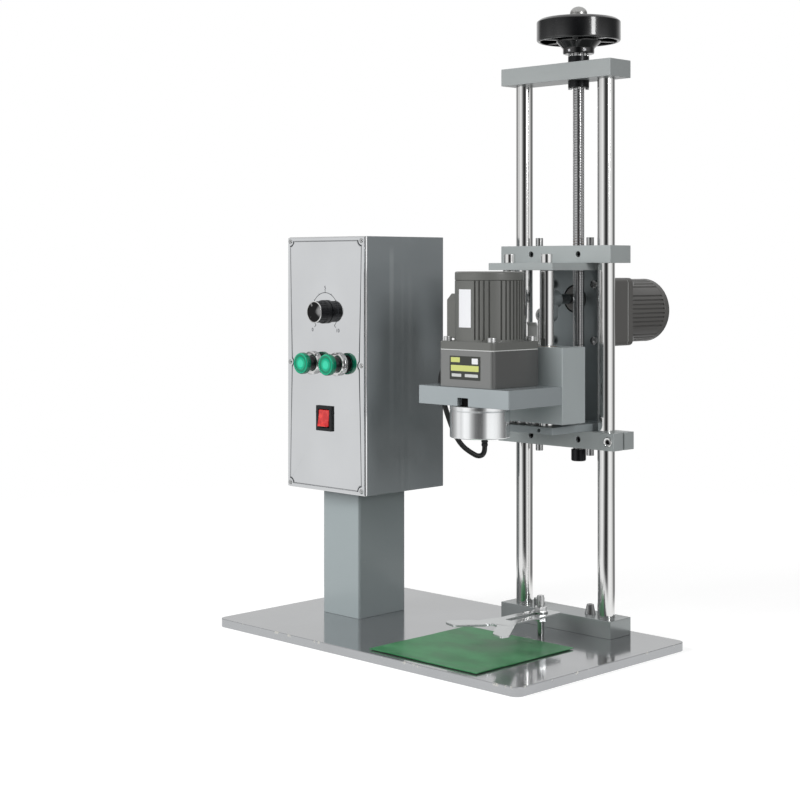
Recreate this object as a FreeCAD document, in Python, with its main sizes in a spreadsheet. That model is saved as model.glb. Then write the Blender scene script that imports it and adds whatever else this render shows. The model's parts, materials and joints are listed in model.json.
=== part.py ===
# Jar capping machine: a base plate with a control box on a post, and a two-rod frame
# whose hand-raised carriage holds the capping head and the gear motor that lifts it.
# Millimetres, +X to the right along the front edge, +Y to the back, +Z up.
# The origin is the centre of the base plate's underside.
import FreeCAD, Part
import math
import os
import re
import Sketcher
from FreeCAD import Placement, Rotation, Vector

doc = FreeCAD.newDocument("jar_capping_machine")

# Driving sizes, by sub-assembly
SIZES = {
    "Base": dict(
        base_long=470, base_deep=290, base_thick=10, base_corner=10,
        mat_wide=158, mat_deep=160, mat_thick=2, mat_corner=3, mat_x=91, mat_y=-54),
    "Fits": dict(
        slide_clear=0.05, turn_clear=0.05, seat_clear=0.02, hole_clear=0.3, part_gap=0.3),
    "Control post and box": dict(
        post_inset=94.5, post_y=6.5, post_wide=63.5, post_deep=78.3, post_wall=3,
        post_foot=6, post_lid=4, post_edge=3, post_top=162, wire_hole=14,
        post_screw_x=20, post_screw_y=27, post_screw_long=12,
        box_y=9.2, box_wide=134.8, box_deep=135.5, box_tall=303.5, box_wall=2, box_lip=9,
        box_edge=3, panel_thick=1.5, panel_margin=1, panel_screw_inset=4.2,
        panel_screw_mid=152,
        panel_screw_r=1.5, panel_screw_head=3, panel_screw_rise=1.6, panel_screw_long=8),
    "Controls": dict(
        knob_z=376, knob_r=14, knob_tip_r=12.8, knob_long=16, knob_skirt=4, knob_gap=0.6,
        knob_well_r=7.6,
        pot_r=12, pot_long=17, pot_bush_r=4.5, pot_bush_rise=7, pot_nut_af=12,
        pot_nut_thick=2.4, pot_shaft_r=3, pot_shaft_rise=14, pot_shaft_in=9,
        button_x=22, button_z=314.3, ring_r=13.4, ring_rise=4.5, barrel_r=11, barrel_long=24,
        lens_r=12.2, lens_back=13.5, lens_rise=20.5, lens_dome=2.6, neck_r=9, lens_in=9,
        lens_travel=3,
        contact_side=26, contact_long=22,
        switch_z=249, switch_wide=27, switch_tall=30, switch_rise=2.6, switch_in=24,
        switch_frame=3, rocker_edge=4, rocker_gap=0.4, rocker_reach=10.6, rocker_pivot=1,
        rocker_tilt=14, rocker_low=6, rocker_deep=4, rocker_pin_r=1.2, rocker_pin_out=0.8,
        board_wide=90, board_tall=150, board_thick=1.6, board_post=8, board_post_r=3,
        board_inset=6, board_low=60, board_part_r=9, board_part_rise=30, board_chip=26),
    "Rod frame": dict(
        head_x=88.5, rod_y=110, rod_half=61, rod_r=10, bar_deep=38, bar_thick=20,
        bar_half=81.5, top_bar_z=645, rod_seat=10, bolt_half=38,
        big_screw_r=4, big_head_r=6.5, big_head_rise=8, big_socket_af=6, big_screw_long=25,
        head_sink=0.5),
    "Lead screw": dict(
        screw_x=109.5, screw_r=7, screw_low=205, screw_hole_clear=1.5,
        thrust_r=8, flange_r=12.2, flange_thick=8, flange_bolt_ring=10,
        flange_bolt_r=1.25, flange_bolt_head=2.1, flange_bolt_rise=2.4, flange_bolt_long=8,
        collar_r=8.6, collar_tall=13.6,
        wheel_r=48.5, wheel_tall=27, wheel_low=690, wheel_rim=5, wheel_web=5, wheel_crown=4,
        wheel_hub_r=18.2, wheel_hub_foot=6.3, wheel_cone_r=26, hub_bevel=1,
        wheel_web_drop=2, wheel_spoke=5, wheel_spokes=6,
        spindle_r=6, spindle_rise=6, dome_r=10, dome_tall=14, dome_base=6, nut_r=11),
    "Carriage": dict(
        low_bar_z=222, low_bar_half=86, high_bar_z=434, thin_half=47.5, thin_front=30,
        thin_thick=8.3, back_thick=10, guide_half=27.5, guide_y=44.5, guide_r=8,
        small_screw_r=3, small_head_r=5, small_head_rise=6, small_socket_af=5,
        small_screw_long=25, back_screw_half=36, slit_wide=2.5, clamp_x=78,
        clamp_sink=5, lock_hole_half=35, lock_hole_r=3.4, lock_hole_deep=12,
        bar_screw_r=3, bar_head_r=4.4, bar_head_rise=9.6, bar_socket_af=4,
        guide_screw_r=4, guide_head_r=6.8, guide_head_rise=10, guide_socket_af=6,
        guide_screw_long=25,
        boss_hole_r=16.5, stop_half=10.5, stop_r=4, stop_rise=4.4, axle_z=392),
    "Gear motors": dict(
        gear_side=80, gear_long=40.6, gear_edge=6, gear_seam=0.8, gear_boss_r=14.8,
        gear_offset=15.5, shaft_r=6, shaft_bore_deep=30, motor_flange=9.5, motor_r=38.3,
        motor_long=66.9, cap_long=10, cap_crown=2, rib_groove=1.7, rib_deep=2,
        rib_first=11.2, rib_step=4.65, side_rib_first=2.7, side_rib_step=5.1, rib_foot=2,
        flange_screw_half=32.6, flange_screw_r=2.5, flange_screw_head=4.6,
        flange_screw_rise=5, flange_screw_long=22, flange_socket_af=4,
        box_inset=2, box_sunk=6, box_reach=15.5, box_broad=27, box_high=50, box_slope=7),
    "Capping head": dict(
        block_half=66.5, block_front=24, block_back=65, block_tall=85,
        block_edge=1, bush_r=12, block_boss_r=11, block_boss_rise=1.7, pivot_z=312,
        table_front=-66, table_low=277, table_thick=20.5, motor_y=-22,
        notch_wide=15.5, notch_tall=9.2, notch_deep=10, table_bolt_half=45,
        table_bolt_long=60, table_bolt_sink=8.5,
        cup_r=33.3, cup_rim=4.6, cup_groove=0.8, cup_low=241.6, cup_bore_r=25,
        cup_bore_deep=24, liner_wall=4, liner_taper=4),
    "Lift crank": dict(
        throw=18, arm_front=80, arm_thick=9, arm_hub_r=10, arm_end_r=8, arm_hub_back=95,
        pin_r=4, link_front=67, link_thick=9, link_eye_r=8, link_wide=10, link_pin_head=6.5,
        link_pin_rise=2.5, crank_pin_rise=1.5),
    "Jar positioner": dict(
        stud_x=107, stud_r=4, stud_top=58, stud_collar_af=13, stud_collar_tall=6.5,
        fork_low=36, fork_thick=2.5, arm_wide=32, arm_back=18, slot_wide=9, slot_front=56,
        clamp_nut_af=13, clamp_nut_tall=6.5, clamp_flange_r=8.5, clamp_flange=1.6,
        throat=82, prong_reach=112, prong_spread=43, prong_tip=15, prong_round=5),
    "Motor cable": dict(
        cable_r=3, gland_x=32.5, gland_y=33, gland_r=6.5, gland_nut=8, gland_neck_r=4.9,
        gland_tip_r=3.7, gland_low=222),
}

# Places that follow from the sizes
SIZES["Worked out"] = dict(
    post_x="=post_inset - base_long / 2",
    block_low="=low_bar_z + bar_thick + thin_thick + stop_rise + part_gap")

sheet = doc.addObject("Spreadsheet::Sheet", "dims")
names = {name for group in SIZES.values() for name in group}
row = 0
for title, group in SIZES.items():
    row += 1
    sheet.set(f"A{row}", title)
    for name, size in group.items():
        row += 1
        sheet.set(f"A{row}", name)
        sheet.set(f"B{row}", str(size))
        sheet.setAlias(f"B{row}", name)
    doc.recompute()


def bound(text):
    """The expression with each size's name pointed at the sheet."""
    return re.sub(r"[a-z_]+", lambda word: f"dims.{word[0]}" if word[0] in names else word[0],
                  str(text))


def value(text):
    """The number that an expression of sizes gives."""
    return float(sheet.evalExpression(bound(text)))


# Directions of a piece's own Z axis
UP = Rotation()
DOWN = Rotation(Vector(1, 0, 0), 180)
TO_FRONT = Rotation(Vector(1, 0, 0), 90)
TO_BACK = Rotation(Vector(1, 0, 0), -90)
ACROSS = Rotation(Vector(0, 1, 0), 90)
HERE = ("0", "0", "0")


def put(piece, at, turn=UP):
    """Place a piece by three expressions and a direction."""
    piece.Placement = Placement(Vector(), turn)
    for axis, text in zip("xyz", at):
        piece.setExpression(f"Placement.Base.{axis}", bound(text))
    return piece


def sized(kind, name, at, turn, **sizes):
    """A Part primitive with its sizes bound to the sheet."""
    piece = doc.addObject(f"Part::{kind}", name)
    for key, text in sizes.items():
        piece.setExpression(key, bound(text))
    return put(piece, at, turn)


def cylinder(name, radius, height, at=HERE, turn=UP):
    return sized("Cylinder", name, at, turn, Radius=radius, Height=height)


def cone(name, low, high, height, at=HERE, turn=UP):
    return sized("Cone", name, at, turn, Radius1=low, Radius2=high, Height=height)


def hexagon(name, across, height, at=HERE, turn=UP):
    piece = sized("Prism", name, at, turn, Circumradius=f"({across}) / sqrt(3)", Height=height)
    piece.Polygon = 6
    return piece


def block(name, x, y, z):
    """A box between two expressions on each axis."""
    return sized("Box", name, (x[0], y[0], z[0]), UP, Length=f"({x[1]}) - ({x[0]})",
                 Width=f"({y[1]}) - ({y[0]})", Height=f"({z[1]}) - ({z[0]})")


def fuse(name, *pieces):
    joined = doc.addObject("Part::MultiFuse", name)
    joined.Shapes = list(pieces)
    joined.Refine = True
    return joined


def cut(name, base, *tools):
    result = doc.addObject("Part::Cut", name)
    result.Base = base
    result.Tool = tools[0] if len(tools) == 1 else fuse(f"{name}_tools", *tools)
    return result


def group(label, pieces):
    """Like pieces that share one node."""
    compound = doc.addObject("Part::Compound", label)
    compound.Links = list(pieces)
    return keep(compound, label)


nodes = {}


def keep(piece, label):
    """Name a finished sub-part, which also names its file."""
    piece.Label = label
    nodes[label] = piece
    return piece


def new_body(label, at=HERE, turn=UP):
    body = doc.addObject("PartDesign::Body", label)
    return keep(put(body, at, turn), label)


def new_sketch(body, name, lift="0", plane="XY_Plane"):
    sketch = body.newObject("Sketcher::SketchObject", name)
    origin = [feature for feature in body.Origin.OriginFeatures if feature.Role == plane][0]
    sketch.AttachmentSupport = (origin, "")
    sketch.MapMode = "FlatFace"
    sketch.setExpression("AttachmentOffset.Base.z", bound(lift))
    return sketch


def pin_point(sketch, geometry, vertex, point):
    """Bind one vertex of a sketch to a pair of expressions."""
    for kind, text in zip(("DistanceX", "DistanceY"), point):
        rule = Sketcher.Constraint(kind, -1, 1, geometry, vertex, value(text))
        sketch.setExpression(f"Constraints[{sketch.addConstraint(rule)}]", bound(text))


def polygon(sketch, points):
    corners = [Vector(value(x), value(y), 0) for x, y in points]
    first = sketch.GeometryCount
    for here, there in zip(corners, corners[1:] + corners[:1]):
        sketch.addGeometry(Part.LineSegment(here, there))
    last = sketch.GeometryCount - 1
    for line in range(first, last + 1):
        after = first if line == last else line + 1
        sketch.addConstraint(Sketcher.Constraint("Coincident", line, 2, after, 1))
        pin_point(sketch, line, 1, points[line - first])


def rectangle(sketch, x, y):
    polygon(sketch, [(x[0], y[0]), (x[1], y[0]), (x[1], y[1]), (x[0], y[1])])


def circle(sketch, point, radius):
    x, y = (value(text) for text in point)
    ring = sketch.addGeometry(Part.Circle(Vector(x, y, 0), Vector(0, 0, 1), value(radius)))
    pin_point(sketch, ring, 3, point)
    rule = sketch.addConstraint(Sketcher.Constraint("Radius", ring, value(radius)))
    sketch.setExpression(f"Constraints[{rule}]", bound(radius))


def pad(body, sketch, length):
    feature = body.newObject("PartDesign::Pad", f"{sketch.Name}_pad")
    feature.Profile = sketch
    feature.setExpression("Length", bound(length))
    sketch.Visibility = False
    return feature


def pocket(body, sketch, depth):
    feature = body.newObject("PartDesign::Pocket", f"{sketch.Name}_pocket")
    feature.Profile = sketch
    feature.setExpression("Length", bound(depth))
    return feature


def drill(body, name, spots, radius, lift, depth, plane="XY_Plane"):
    """Round holes that start at a level and run against the plane's normal."""
    sketch = new_sketch(body, name, lift, plane)
    for spot in spots:
        circle(sketch, spot, radius)
    return pocket(body, sketch, depth)


def hollow(body, name, x, y, z):
    """Cut a box between two expressions on each axis of the body."""
    cutter = body.newObject("PartDesign::SubtractiveBox", name)
    for key, (low, high) in zip(("Length", "Width", "Height"), (x, y, z)):
        cutter.setExpression(key, bound(f"({high}) - ({low})"))
    return put(cutter, (x[0], y[0], z[0]))


def upright(edge):
    """True for a straight edge along the body's own Z."""
    if len(edge.Vertexes) < 2:
        return False
    first, last = (vertex.Point for vertex in edge.Vertexes)
    return abs(first.x - last.x) < 1e-6 and abs(first.y - last.y) < 1e-6


def round_edges(body, feature, radius, chosen=upright):
    doc.recompute()
    fillet = body.newObject("PartDesign::Fillet", f"{body.Name}_rounding")
    picked = [f"Edge{number}" for number, edge in enumerate(feature.Shape.Edges, 1)
              if chosen(edge)]
    fillet.Base = (feature, picked)
    fillet.setExpression("Radius", bound(radius))
    return fillet


def turned(label, profile, at, turn=UP):
    """A lathe-turned piece from a closed outline of radius and height pairs."""
    body = new_body(label, at, turn)
    sketch = new_sketch(body, f"{label}_profile", plane="XZ_Plane")
    polygon(sketch, profile)
    spin = body.newObject("PartDesign::Revolution", f"{label}_turning")
    spin.Profile = sketch
    spin.ReferenceAxis = (sketch, ["V_Axis"])
    return body


def slab(label, at, x, y, thick, corner=None):
    """A flat plate, its outline given on the body's own axes."""
    body = new_body(label, at)
    sketch = new_sketch(body, f"{label}_outline")
    rectangle(sketch, x, y)
    feature = pad(body, sketch, thick)
    if corner:
        round_edges(body, feature, corner)
    return body


def both(half, y="0"):
    return [(f"-({half})", y), (half, y)]


def four(half_x, half_y):
    return [(x, y) for x in (f"-({half_x})", half_x) for y in (f"-({half_y})", half_y)]


def socket_screw(name, size, long, at, turn=UP):
    """A socket-head screw whose head sits above its own Z = 0."""
    head = cylinder(f"{name}_head", f"{size}_head_r", f"{size}_head_rise")
    shank = cylinder(f"{name}_shank", f"{size}_screw_r", long, ("0", "0", f"-({long})"))
    key = hexagon(f"{name}_key", f"{size}_socket_af", f"{size}_head_rise",
                  ("0", "0", f"{size}_head_rise / 2"))
    return put(cut(name, fuse(f"{name}_blank", head, shank), key), at, turn)


BAR_HALF_DEEP = "bar_deep / 2"
BAR_FRONT = "rod_y - bar_deep / 2"
BAR_BACK = "rod_y + bar_deep / 2"
SCREW_SIDE = "screw_x - head_x"
FOOT_BAR_TOP = "base_thick + bar_thick"
POST_SEAT = "small_head_rise + head_sink"
ROD_SEAT_LOW = "big_head_rise + head_sink"
ROD_SEAT_HIGH = "top_bar_z + bar_thick - big_head_rise"


# Base plate, mat and frame

def make_base():
    plate = slab("base_plate", HERE, ("-base_long / 2", "base_long / 2"),
                 ("-base_deep / 2", "base_deep / 2"), "base_thick", "base_corner")
    post_spots = [(f"post_x + ({x})", f"post_y + ({y})")
                  for x, y in four("post_screw_x", "post_screw_y")]
    rod_spots = [("head_x - rod_half", "rod_y"), ("head_x + rod_half", "rod_y")]
    bolt_spots = [("head_x - bolt_half", "rod_y"), ("head_x + bolt_half", "rod_y")]
    drill(plate, "post_screw_holes", post_spots, "small_screw_r + hole_clear",
          "base_thick", "base_thick")
    drill(plate, "post_head_sinks", post_spots, "small_head_r + hole_clear",
          POST_SEAT, POST_SEAT)
    drill(plate, "rod_screw_holes", rod_spots, "big_screw_r + hole_clear",
          "base_thick", "base_thick")
    drill(plate, "rod_head_sinks", rod_spots, "big_head_r + hole_clear",
          ROD_SEAT_LOW, ROD_SEAT_LOW)
    drill(plate, "bar_bolt_holes", bolt_spots, "big_screw_r + seat_clear",
          "base_thick", "base_thick")
    drill(plate, "stud_hole", [("stud_x", "guide_y")], "stud_r + seat_clear",
          "base_thick", "base_thick")
    slab("jar_mat", ("mat_x", "mat_y", "base_thick"), ("-mat_wide / 2", "mat_wide / 2"),
         ("-mat_deep / 2", "mat_deep / 2"), "mat_thick", "mat_corner")


def cross_bar(label, level, half):
    """A flat bar across the two rods, centred between them."""
    return slab(label, ("head_x", "rod_y", level), (f"-({half})", half),
                (f"-({BAR_HALF_DEEP})", BAR_HALF_DEEP), "bar_thick")


def make_frame():
    foot = cross_bar("foot_bar", "base_thick", "bar_half")
    drill(foot, "foot_rod_bores", both("rod_half"), "rod_r + seat_clear",
          "bar_thick", "bar_thick")
    drill(foot, "foot_bolt_holes", both("bolt_half"), "big_screw_r + hole_clear",
          "bar_thick", "bar_thick")
    top = cross_bar("top_bar", "top_bar_z", "bar_half")
    drill(top, "top_rod_bores", both("rod_half"), "rod_r + seat_clear", "rod_seat", "rod_seat")
    drill(top, "top_screw_holes", both("rod_half"), "big_screw_r + hole_clear",
          "bar_thick", "bar_thick")
    drill(top, "top_head_sinks", both("rod_half"), "big_head_r + hole_clear",
          "bar_thick", "big_head_rise")
    drill(top, "top_spindle_hole", [(SCREW_SIDE, "0")], "thrust_r + hole_clear",
          "bar_thick", "bar_thick")
    ring = [(f"{SCREW_SIDE} + ({x})", y)
            for x, y in four("flange_bolt_ring / sqrt(2)", "flange_bolt_ring / sqrt(2)")]
    drill(top, "top_flange_holes_low", ring, "flange_bolt_r + seat_clear",
          "flange_bolt_long", "flange_bolt_long")
    drill(top, "top_flange_holes_high", ring, "flange_bolt_r + seat_clear",
          "bar_thick", "flange_bolt_long")
    rods = []
    for side, x in (("left", "head_x - rod_half"), ("right", "head_x + rod_half")):
        rod = cylinder(f"{side}_rod_bar", "rod_r", "top_bar_z + rod_seat - base_thick",
                       ("0", "0", "base_thick"))
        low = cylinder(f"{side}_rod_low_thread", "big_screw_r + seat_clear",
                       f"{ROD_SEAT_LOW} + big_screw_long + part_gap")
        high = cylinder(f"{side}_rod_high_thread", "big_screw_r + seat_clear",
                        "big_screw_long + part_gap",
                        ("0", "0", f"{ROD_SEAT_HIGH} - big_screw_long - part_gap"))
        rods.append(put(cut(f"{side}_rod", rod, low, high), (x, "rod_y", "0")))
    group("main_rods", rods)
    screws = []
    for side, x in (("left", "head_x - rod_half"), ("right", "head_x + rod_half")):
        screws.append(socket_screw(f"{side}_low_screw", "big", "big_screw_long",
                                   (x, "rod_y", ROD_SEAT_LOW), DOWN))
        screws.append(socket_screw(f"{side}_high_screw", "big", "big_screw_long",
                                   (x, "rod_y", ROD_SEAT_HIGH)))
    for side, x in (("left", "head_x - bolt_half"), ("right", "head_x + bolt_half")):
        screws.append(socket_screw(f"{side}_foot_bolt", "big", "big_screw_long",
                                   (x, "rod_y", FOOT_BAR_TOP)))
    group("frame_bolts", screws)


# Lead screw, its flanges and the handwheel

def make_lead_screw():
    top = "top_bar_z + bar_thick"
    flanges = []
    bolts = []
    for side, level, turn in (("low", "top_bar_z", DOWN), ("high", top, UP)):
        disc = cylinder(f"{side}_flange_disc", "flange_r", "flange_thick")
        bore = cylinder(f"{side}_flange_bore", "screw_r + turn_clear", "flange_thick")
        ring = []
        for number in range(4):
            angle = 45 + 90 * number
            spot = [f"flange_bolt_ring * cos({angle})", f"flange_bolt_ring * sin({angle})"]
            ring.append(cylinder(f"{side}_flange_hole_{number}", "flange_bolt_r + seat_clear",
                                 "flange_thick", (*spot, "0")))
            head = cylinder(f"{side}_bolt_head_{number}", "flange_bolt_head",
                            "flange_bolt_rise", (*spot, "flange_thick"))
            shank = cylinder(f"{side}_bolt_shank_{number}", "flange_bolt_r",
                             "flange_thick + flange_bolt_long - 1", (*spot, "1 - flange_bolt_long"))
            bolts.append(put(fuse(f"{side}_bolt_{number}", head, shank),
                             ("screw_x", "rod_y", level), turn))
        flanges.append(put(cut(f"{side}_flange", disc, bore, *ring),
                           ("screw_x", "rod_y", level), turn))
    group("screw_flanges", flanges)
    group("flange_bolts", bolts)

    # The ring in the top bar's bore carries the thrust between the two flanges
    hub_base = f"{top} + flange_thick + flange_bolt_rise + part_gap"
    tip = "wheel_low + wheel_tall + spindle_rise"
    turned("lead_screw", [
        ("0", "screw_low"), ("screw_r - 1", "screw_low"), ("screw_r", "screw_low + 1"),
        ("screw_r", "top_bar_z + part_gap"), ("thrust_r", "top_bar_z + part_gap"),
        ("thrust_r", f"{top} - part_gap"), ("screw_r", f"{top} - part_gap"),
        ("screw_r", hub_base), ("spindle_r", hub_base), ("spindle_r", tip), ("0", tip)],
        ("screw_x", "rod_y", "0"))
    turned("stop_collar", [
        ("screw_r + seat_clear", "0"), ("collar_r - 1", "0"), ("collar_r", "1"),
        ("collar_r", "collar_tall"), ("screw_r + seat_clear", "collar_tall")],
        ("screw_x", "rod_y", "screw_low"))

    rim_in = "wheel_r - wheel_rim"
    web_low = "wheel_tall - wheel_web"
    hub_low = f"{hub_base} - wheel_low"
    wheel = turned("handwheel", [
        ("spindle_r + seat_clear", hub_low), ("wheel_hub_r - hub_bevel", hub_low),
        ("wheel_hub_r", f"{hub_low} + hub_bevel"),
        ("wheel_hub_r", f"{hub_low} + wheel_hub_foot"), ("wheel_cone_r", "0"),
        ("wheel_cone_r", web_low), (rim_in, f"{web_low} - wheel_web_drop"),
        (f"{rim_in} + 1", "0"),
        ("wheel_r - 1.5", "0"), ("wheel_r", "1.5"), ("wheel_r", "wheel_tall - wheel_crown"),
        ("wheel_r - wheel_crown", "wheel_tall - 1"), ("wheel_hub_r", "wheel_tall"),
        ("spindle_r + seat_clear", "wheel_tall")], ("screw_x", "rod_y", "wheel_low"))
    spoke_sketch = new_sketch(wheel, "wheel_spoke", "1", "XY_Plane")
    rectangle(spoke_sketch, ("wheel_hub_r - 1", f"{rim_in} + 1"),
              ("-wheel_spoke / 2", "wheel_spoke / 2"))
    spoke = pad(wheel, spoke_sketch, "wheel_tall - wheel_web")
    doc.recompute()
    spokes = wheel.newObject("PartDesign::PolarPattern", "wheel_spokes_round")
    spokes.Originals = [spoke]
    spokes.Axis = (spoke_sketch, ["N_Axis"])
    spokes.Angle = 360
    spokes.Occurrences = int(value("wheel_spokes"))
    wheel.Tip = spokes
    turned("dome_nut", [
        ("spindle_r + seat_clear", "0"), ("dome_r", "0"), ("dome_r", "dome_base"),
        ("dome_r * 0.87", "dome_base + (dome_tall - dome_base) * 0.5"),
        ("dome_r * 0.5", "dome_tall - 1"), ("0", "dome_tall"), ("0", "spindle_rise + part_gap"),
        ("spindle_r + seat_clear", "spindle_rise + part_gap")],
        ("screw_x", "rod_y", "wheel_low + wheel_tall"))


# Control post, box and controls

BOX_FRONT = "box_y - box_deep / 2"


def make_post():
    post = slab("box_post", ("post_x", "post_y", "base_thick"),
                ("-post_wide / 2", "post_wide / 2"), ("-post_deep / 2", "post_deep / 2"),
                "post_top - base_thick", "post_edge")
    hollow(post, "post_inside", ("post_wall - post_wide / 2", "post_wide / 2 - post_wall"),
           ("post_wall - post_deep / 2", "post_deep / 2 - post_wall"),
           ("post_foot", "post_top - base_thick - post_lid"))
    spots = four("post_screw_x", "post_screw_y")
    drill(post, "post_foot_holes", spots, "small_screw_r + seat_clear", "post_foot",
          "post_foot")
    drill(post, "post_lid_holes", spots, "small_screw_r + seat_clear",
          "post_top - base_thick", "post_lid")
    drill(post, "post_wire_hole", [("0", "0")], "wire_hole", "post_top - base_thick",
          "post_lid")
    screws = []
    for number, (x, y) in enumerate(spots):
        spot = (f"post_x + ({x})", f"post_y + ({y})")
        screws.append(socket_screw(f"post_foot_screw_{number}", "small", "post_screw_long",
                                   (*spot, POST_SEAT), DOWN))
        screws.append(socket_screw(f"post_lid_screw_{number}", "small", "post_screw_long",
                                   (*spot, "post_top + box_wall")))
    group("post_screws", screws)


def make_box():
    box = slab("control_box", ("post_x", "box_y", "post_top"),
               ("-box_wide / 2", "box_wide / 2"),
               ("panel_thick - box_deep / 2", "box_deep / 2"), "box_tall", "box_edge")
    hollow(box, "box_inside", ("box_wall - box_wide / 2", "box_wide / 2 - box_wall"),
           ("panel_thick + box_wall - box_deep / 2", "box_deep / 2 - box_wall"),
           ("box_wall", "box_tall - box_wall"))
    hollow(box, "box_mouth", ("box_lip - box_wide / 2", "box_wide / 2 - box_lip"),
           ("-box_deep / 2", "panel_thick + box_wall * 2 - box_deep / 2"),
           ("box_lip", "box_tall - box_lip"))
    over_post = [(x, f"post_y - box_y + ({y})")
                 for x, y in four("post_screw_x", "post_screw_y")]
    drill(box, "box_post_holes", over_post, "small_screw_r + hole_clear", "box_wall",
          "box_wall")
    drill(box, "box_wire_hole", [("0", "post_y - box_y")], "wire_hole", "box_wall",
          "box_wall")
    spots = panel_screw_spots()
    drill(box, "box_panel_holes", spots, "panel_screw_r + seat_clear",
          "box_deep / 2 - panel_thick", "box_wall", "XZ_Plane")

    panel = new_body("front_panel", ("post_x", f"{BOX_FRONT} + panel_thick", "post_top"),
                     TO_FRONT)
    outline = new_sketch(panel, "panel_outline")
    rectangle(outline, ("panel_margin - box_wide / 2", "box_wide / 2 - panel_margin"),
              ("panel_margin", "box_tall - panel_margin"))
    for spot in spots:
        circle(outline, spot, "panel_screw_r + hole_clear")
    circle(outline, ("0", "knob_z - post_top"), "pot_bush_r + seat_clear")
    for x in ("-button_x", "button_x"):
        circle(outline, (x, "button_z - post_top"), "barrel_r + seat_clear")
    rectangle(outline, ("switch_frame - switch_wide / 2", "switch_wide / 2 - switch_frame"),
              ("switch_z - post_top + switch_frame - switch_tall / 2",
               "switch_z - post_top + switch_tall / 2 - switch_frame"))
    pad(panel, outline, "panel_thick")

    screws = []
    for number, (x, z) in enumerate(spots):
        at = (f"post_x + ({x})", BOX_FRONT, f"post_top + ({z})")
        head = cone(f"panel_screw_head_{number}", "panel_screw_head",
                    "panel_screw_head * 0.6", "panel_screw_rise")
        shank = cylinder(f"panel_screw_shank_{number}", "panel_screw_r", "panel_screw_long",
                         ("0", "0", "-panel_screw_long"))
        screws.append(put(fuse(f"panel_screw_{number}", head, shank), at, TO_FRONT))
    group("panel_screws", screws)

    board = block("board_sheet", ("-board_wide / 2", "board_wide / 2"),
                  ("-board_post - board_thick", "-board_post"),
                  ("board_low", "board_low + board_tall"))
    posts = []
    for number, (x, z) in enumerate(four("board_wide / 2 - board_inset",
                                        "board_tall / 2 - board_inset")):
        posts.append(cylinder(f"board_post_{number}", "board_post_r", "board_post",
                              (x, "0", f"board_low + board_tall / 2 + ({z})"), TO_FRONT))
    coil = cylinder("board_capacitor", "board_part_r", "board_part_rise",
                    ("-board_wide / 4", "-board_post", "board_low + board_tall * 0.7"),
                    TO_FRONT)
    chip = block("board_heat_sink", ("0", "board_chip"),
                 ("-board_post - board_chip", "-board_post"),
                 ("board_low + board_tall * 0.3", "board_low + board_tall * 0.6"))
    put(keep(fuse("drive_board", board, *posts, coil, chip), "drive_board"),
        ("post_x", "box_y + box_deep / 2 - box_wall", "post_top"))


def panel_screw_spots():
    side = "box_wide / 2 - panel_margin - panel_screw_inset"
    low = "panel_margin + panel_screw_inset"
    high = "box_tall - panel_margin - panel_screw_inset"
    return [(x, z) for x in (f"-({side})", side) for z in (low, "panel_screw_mid", high)]


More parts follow.
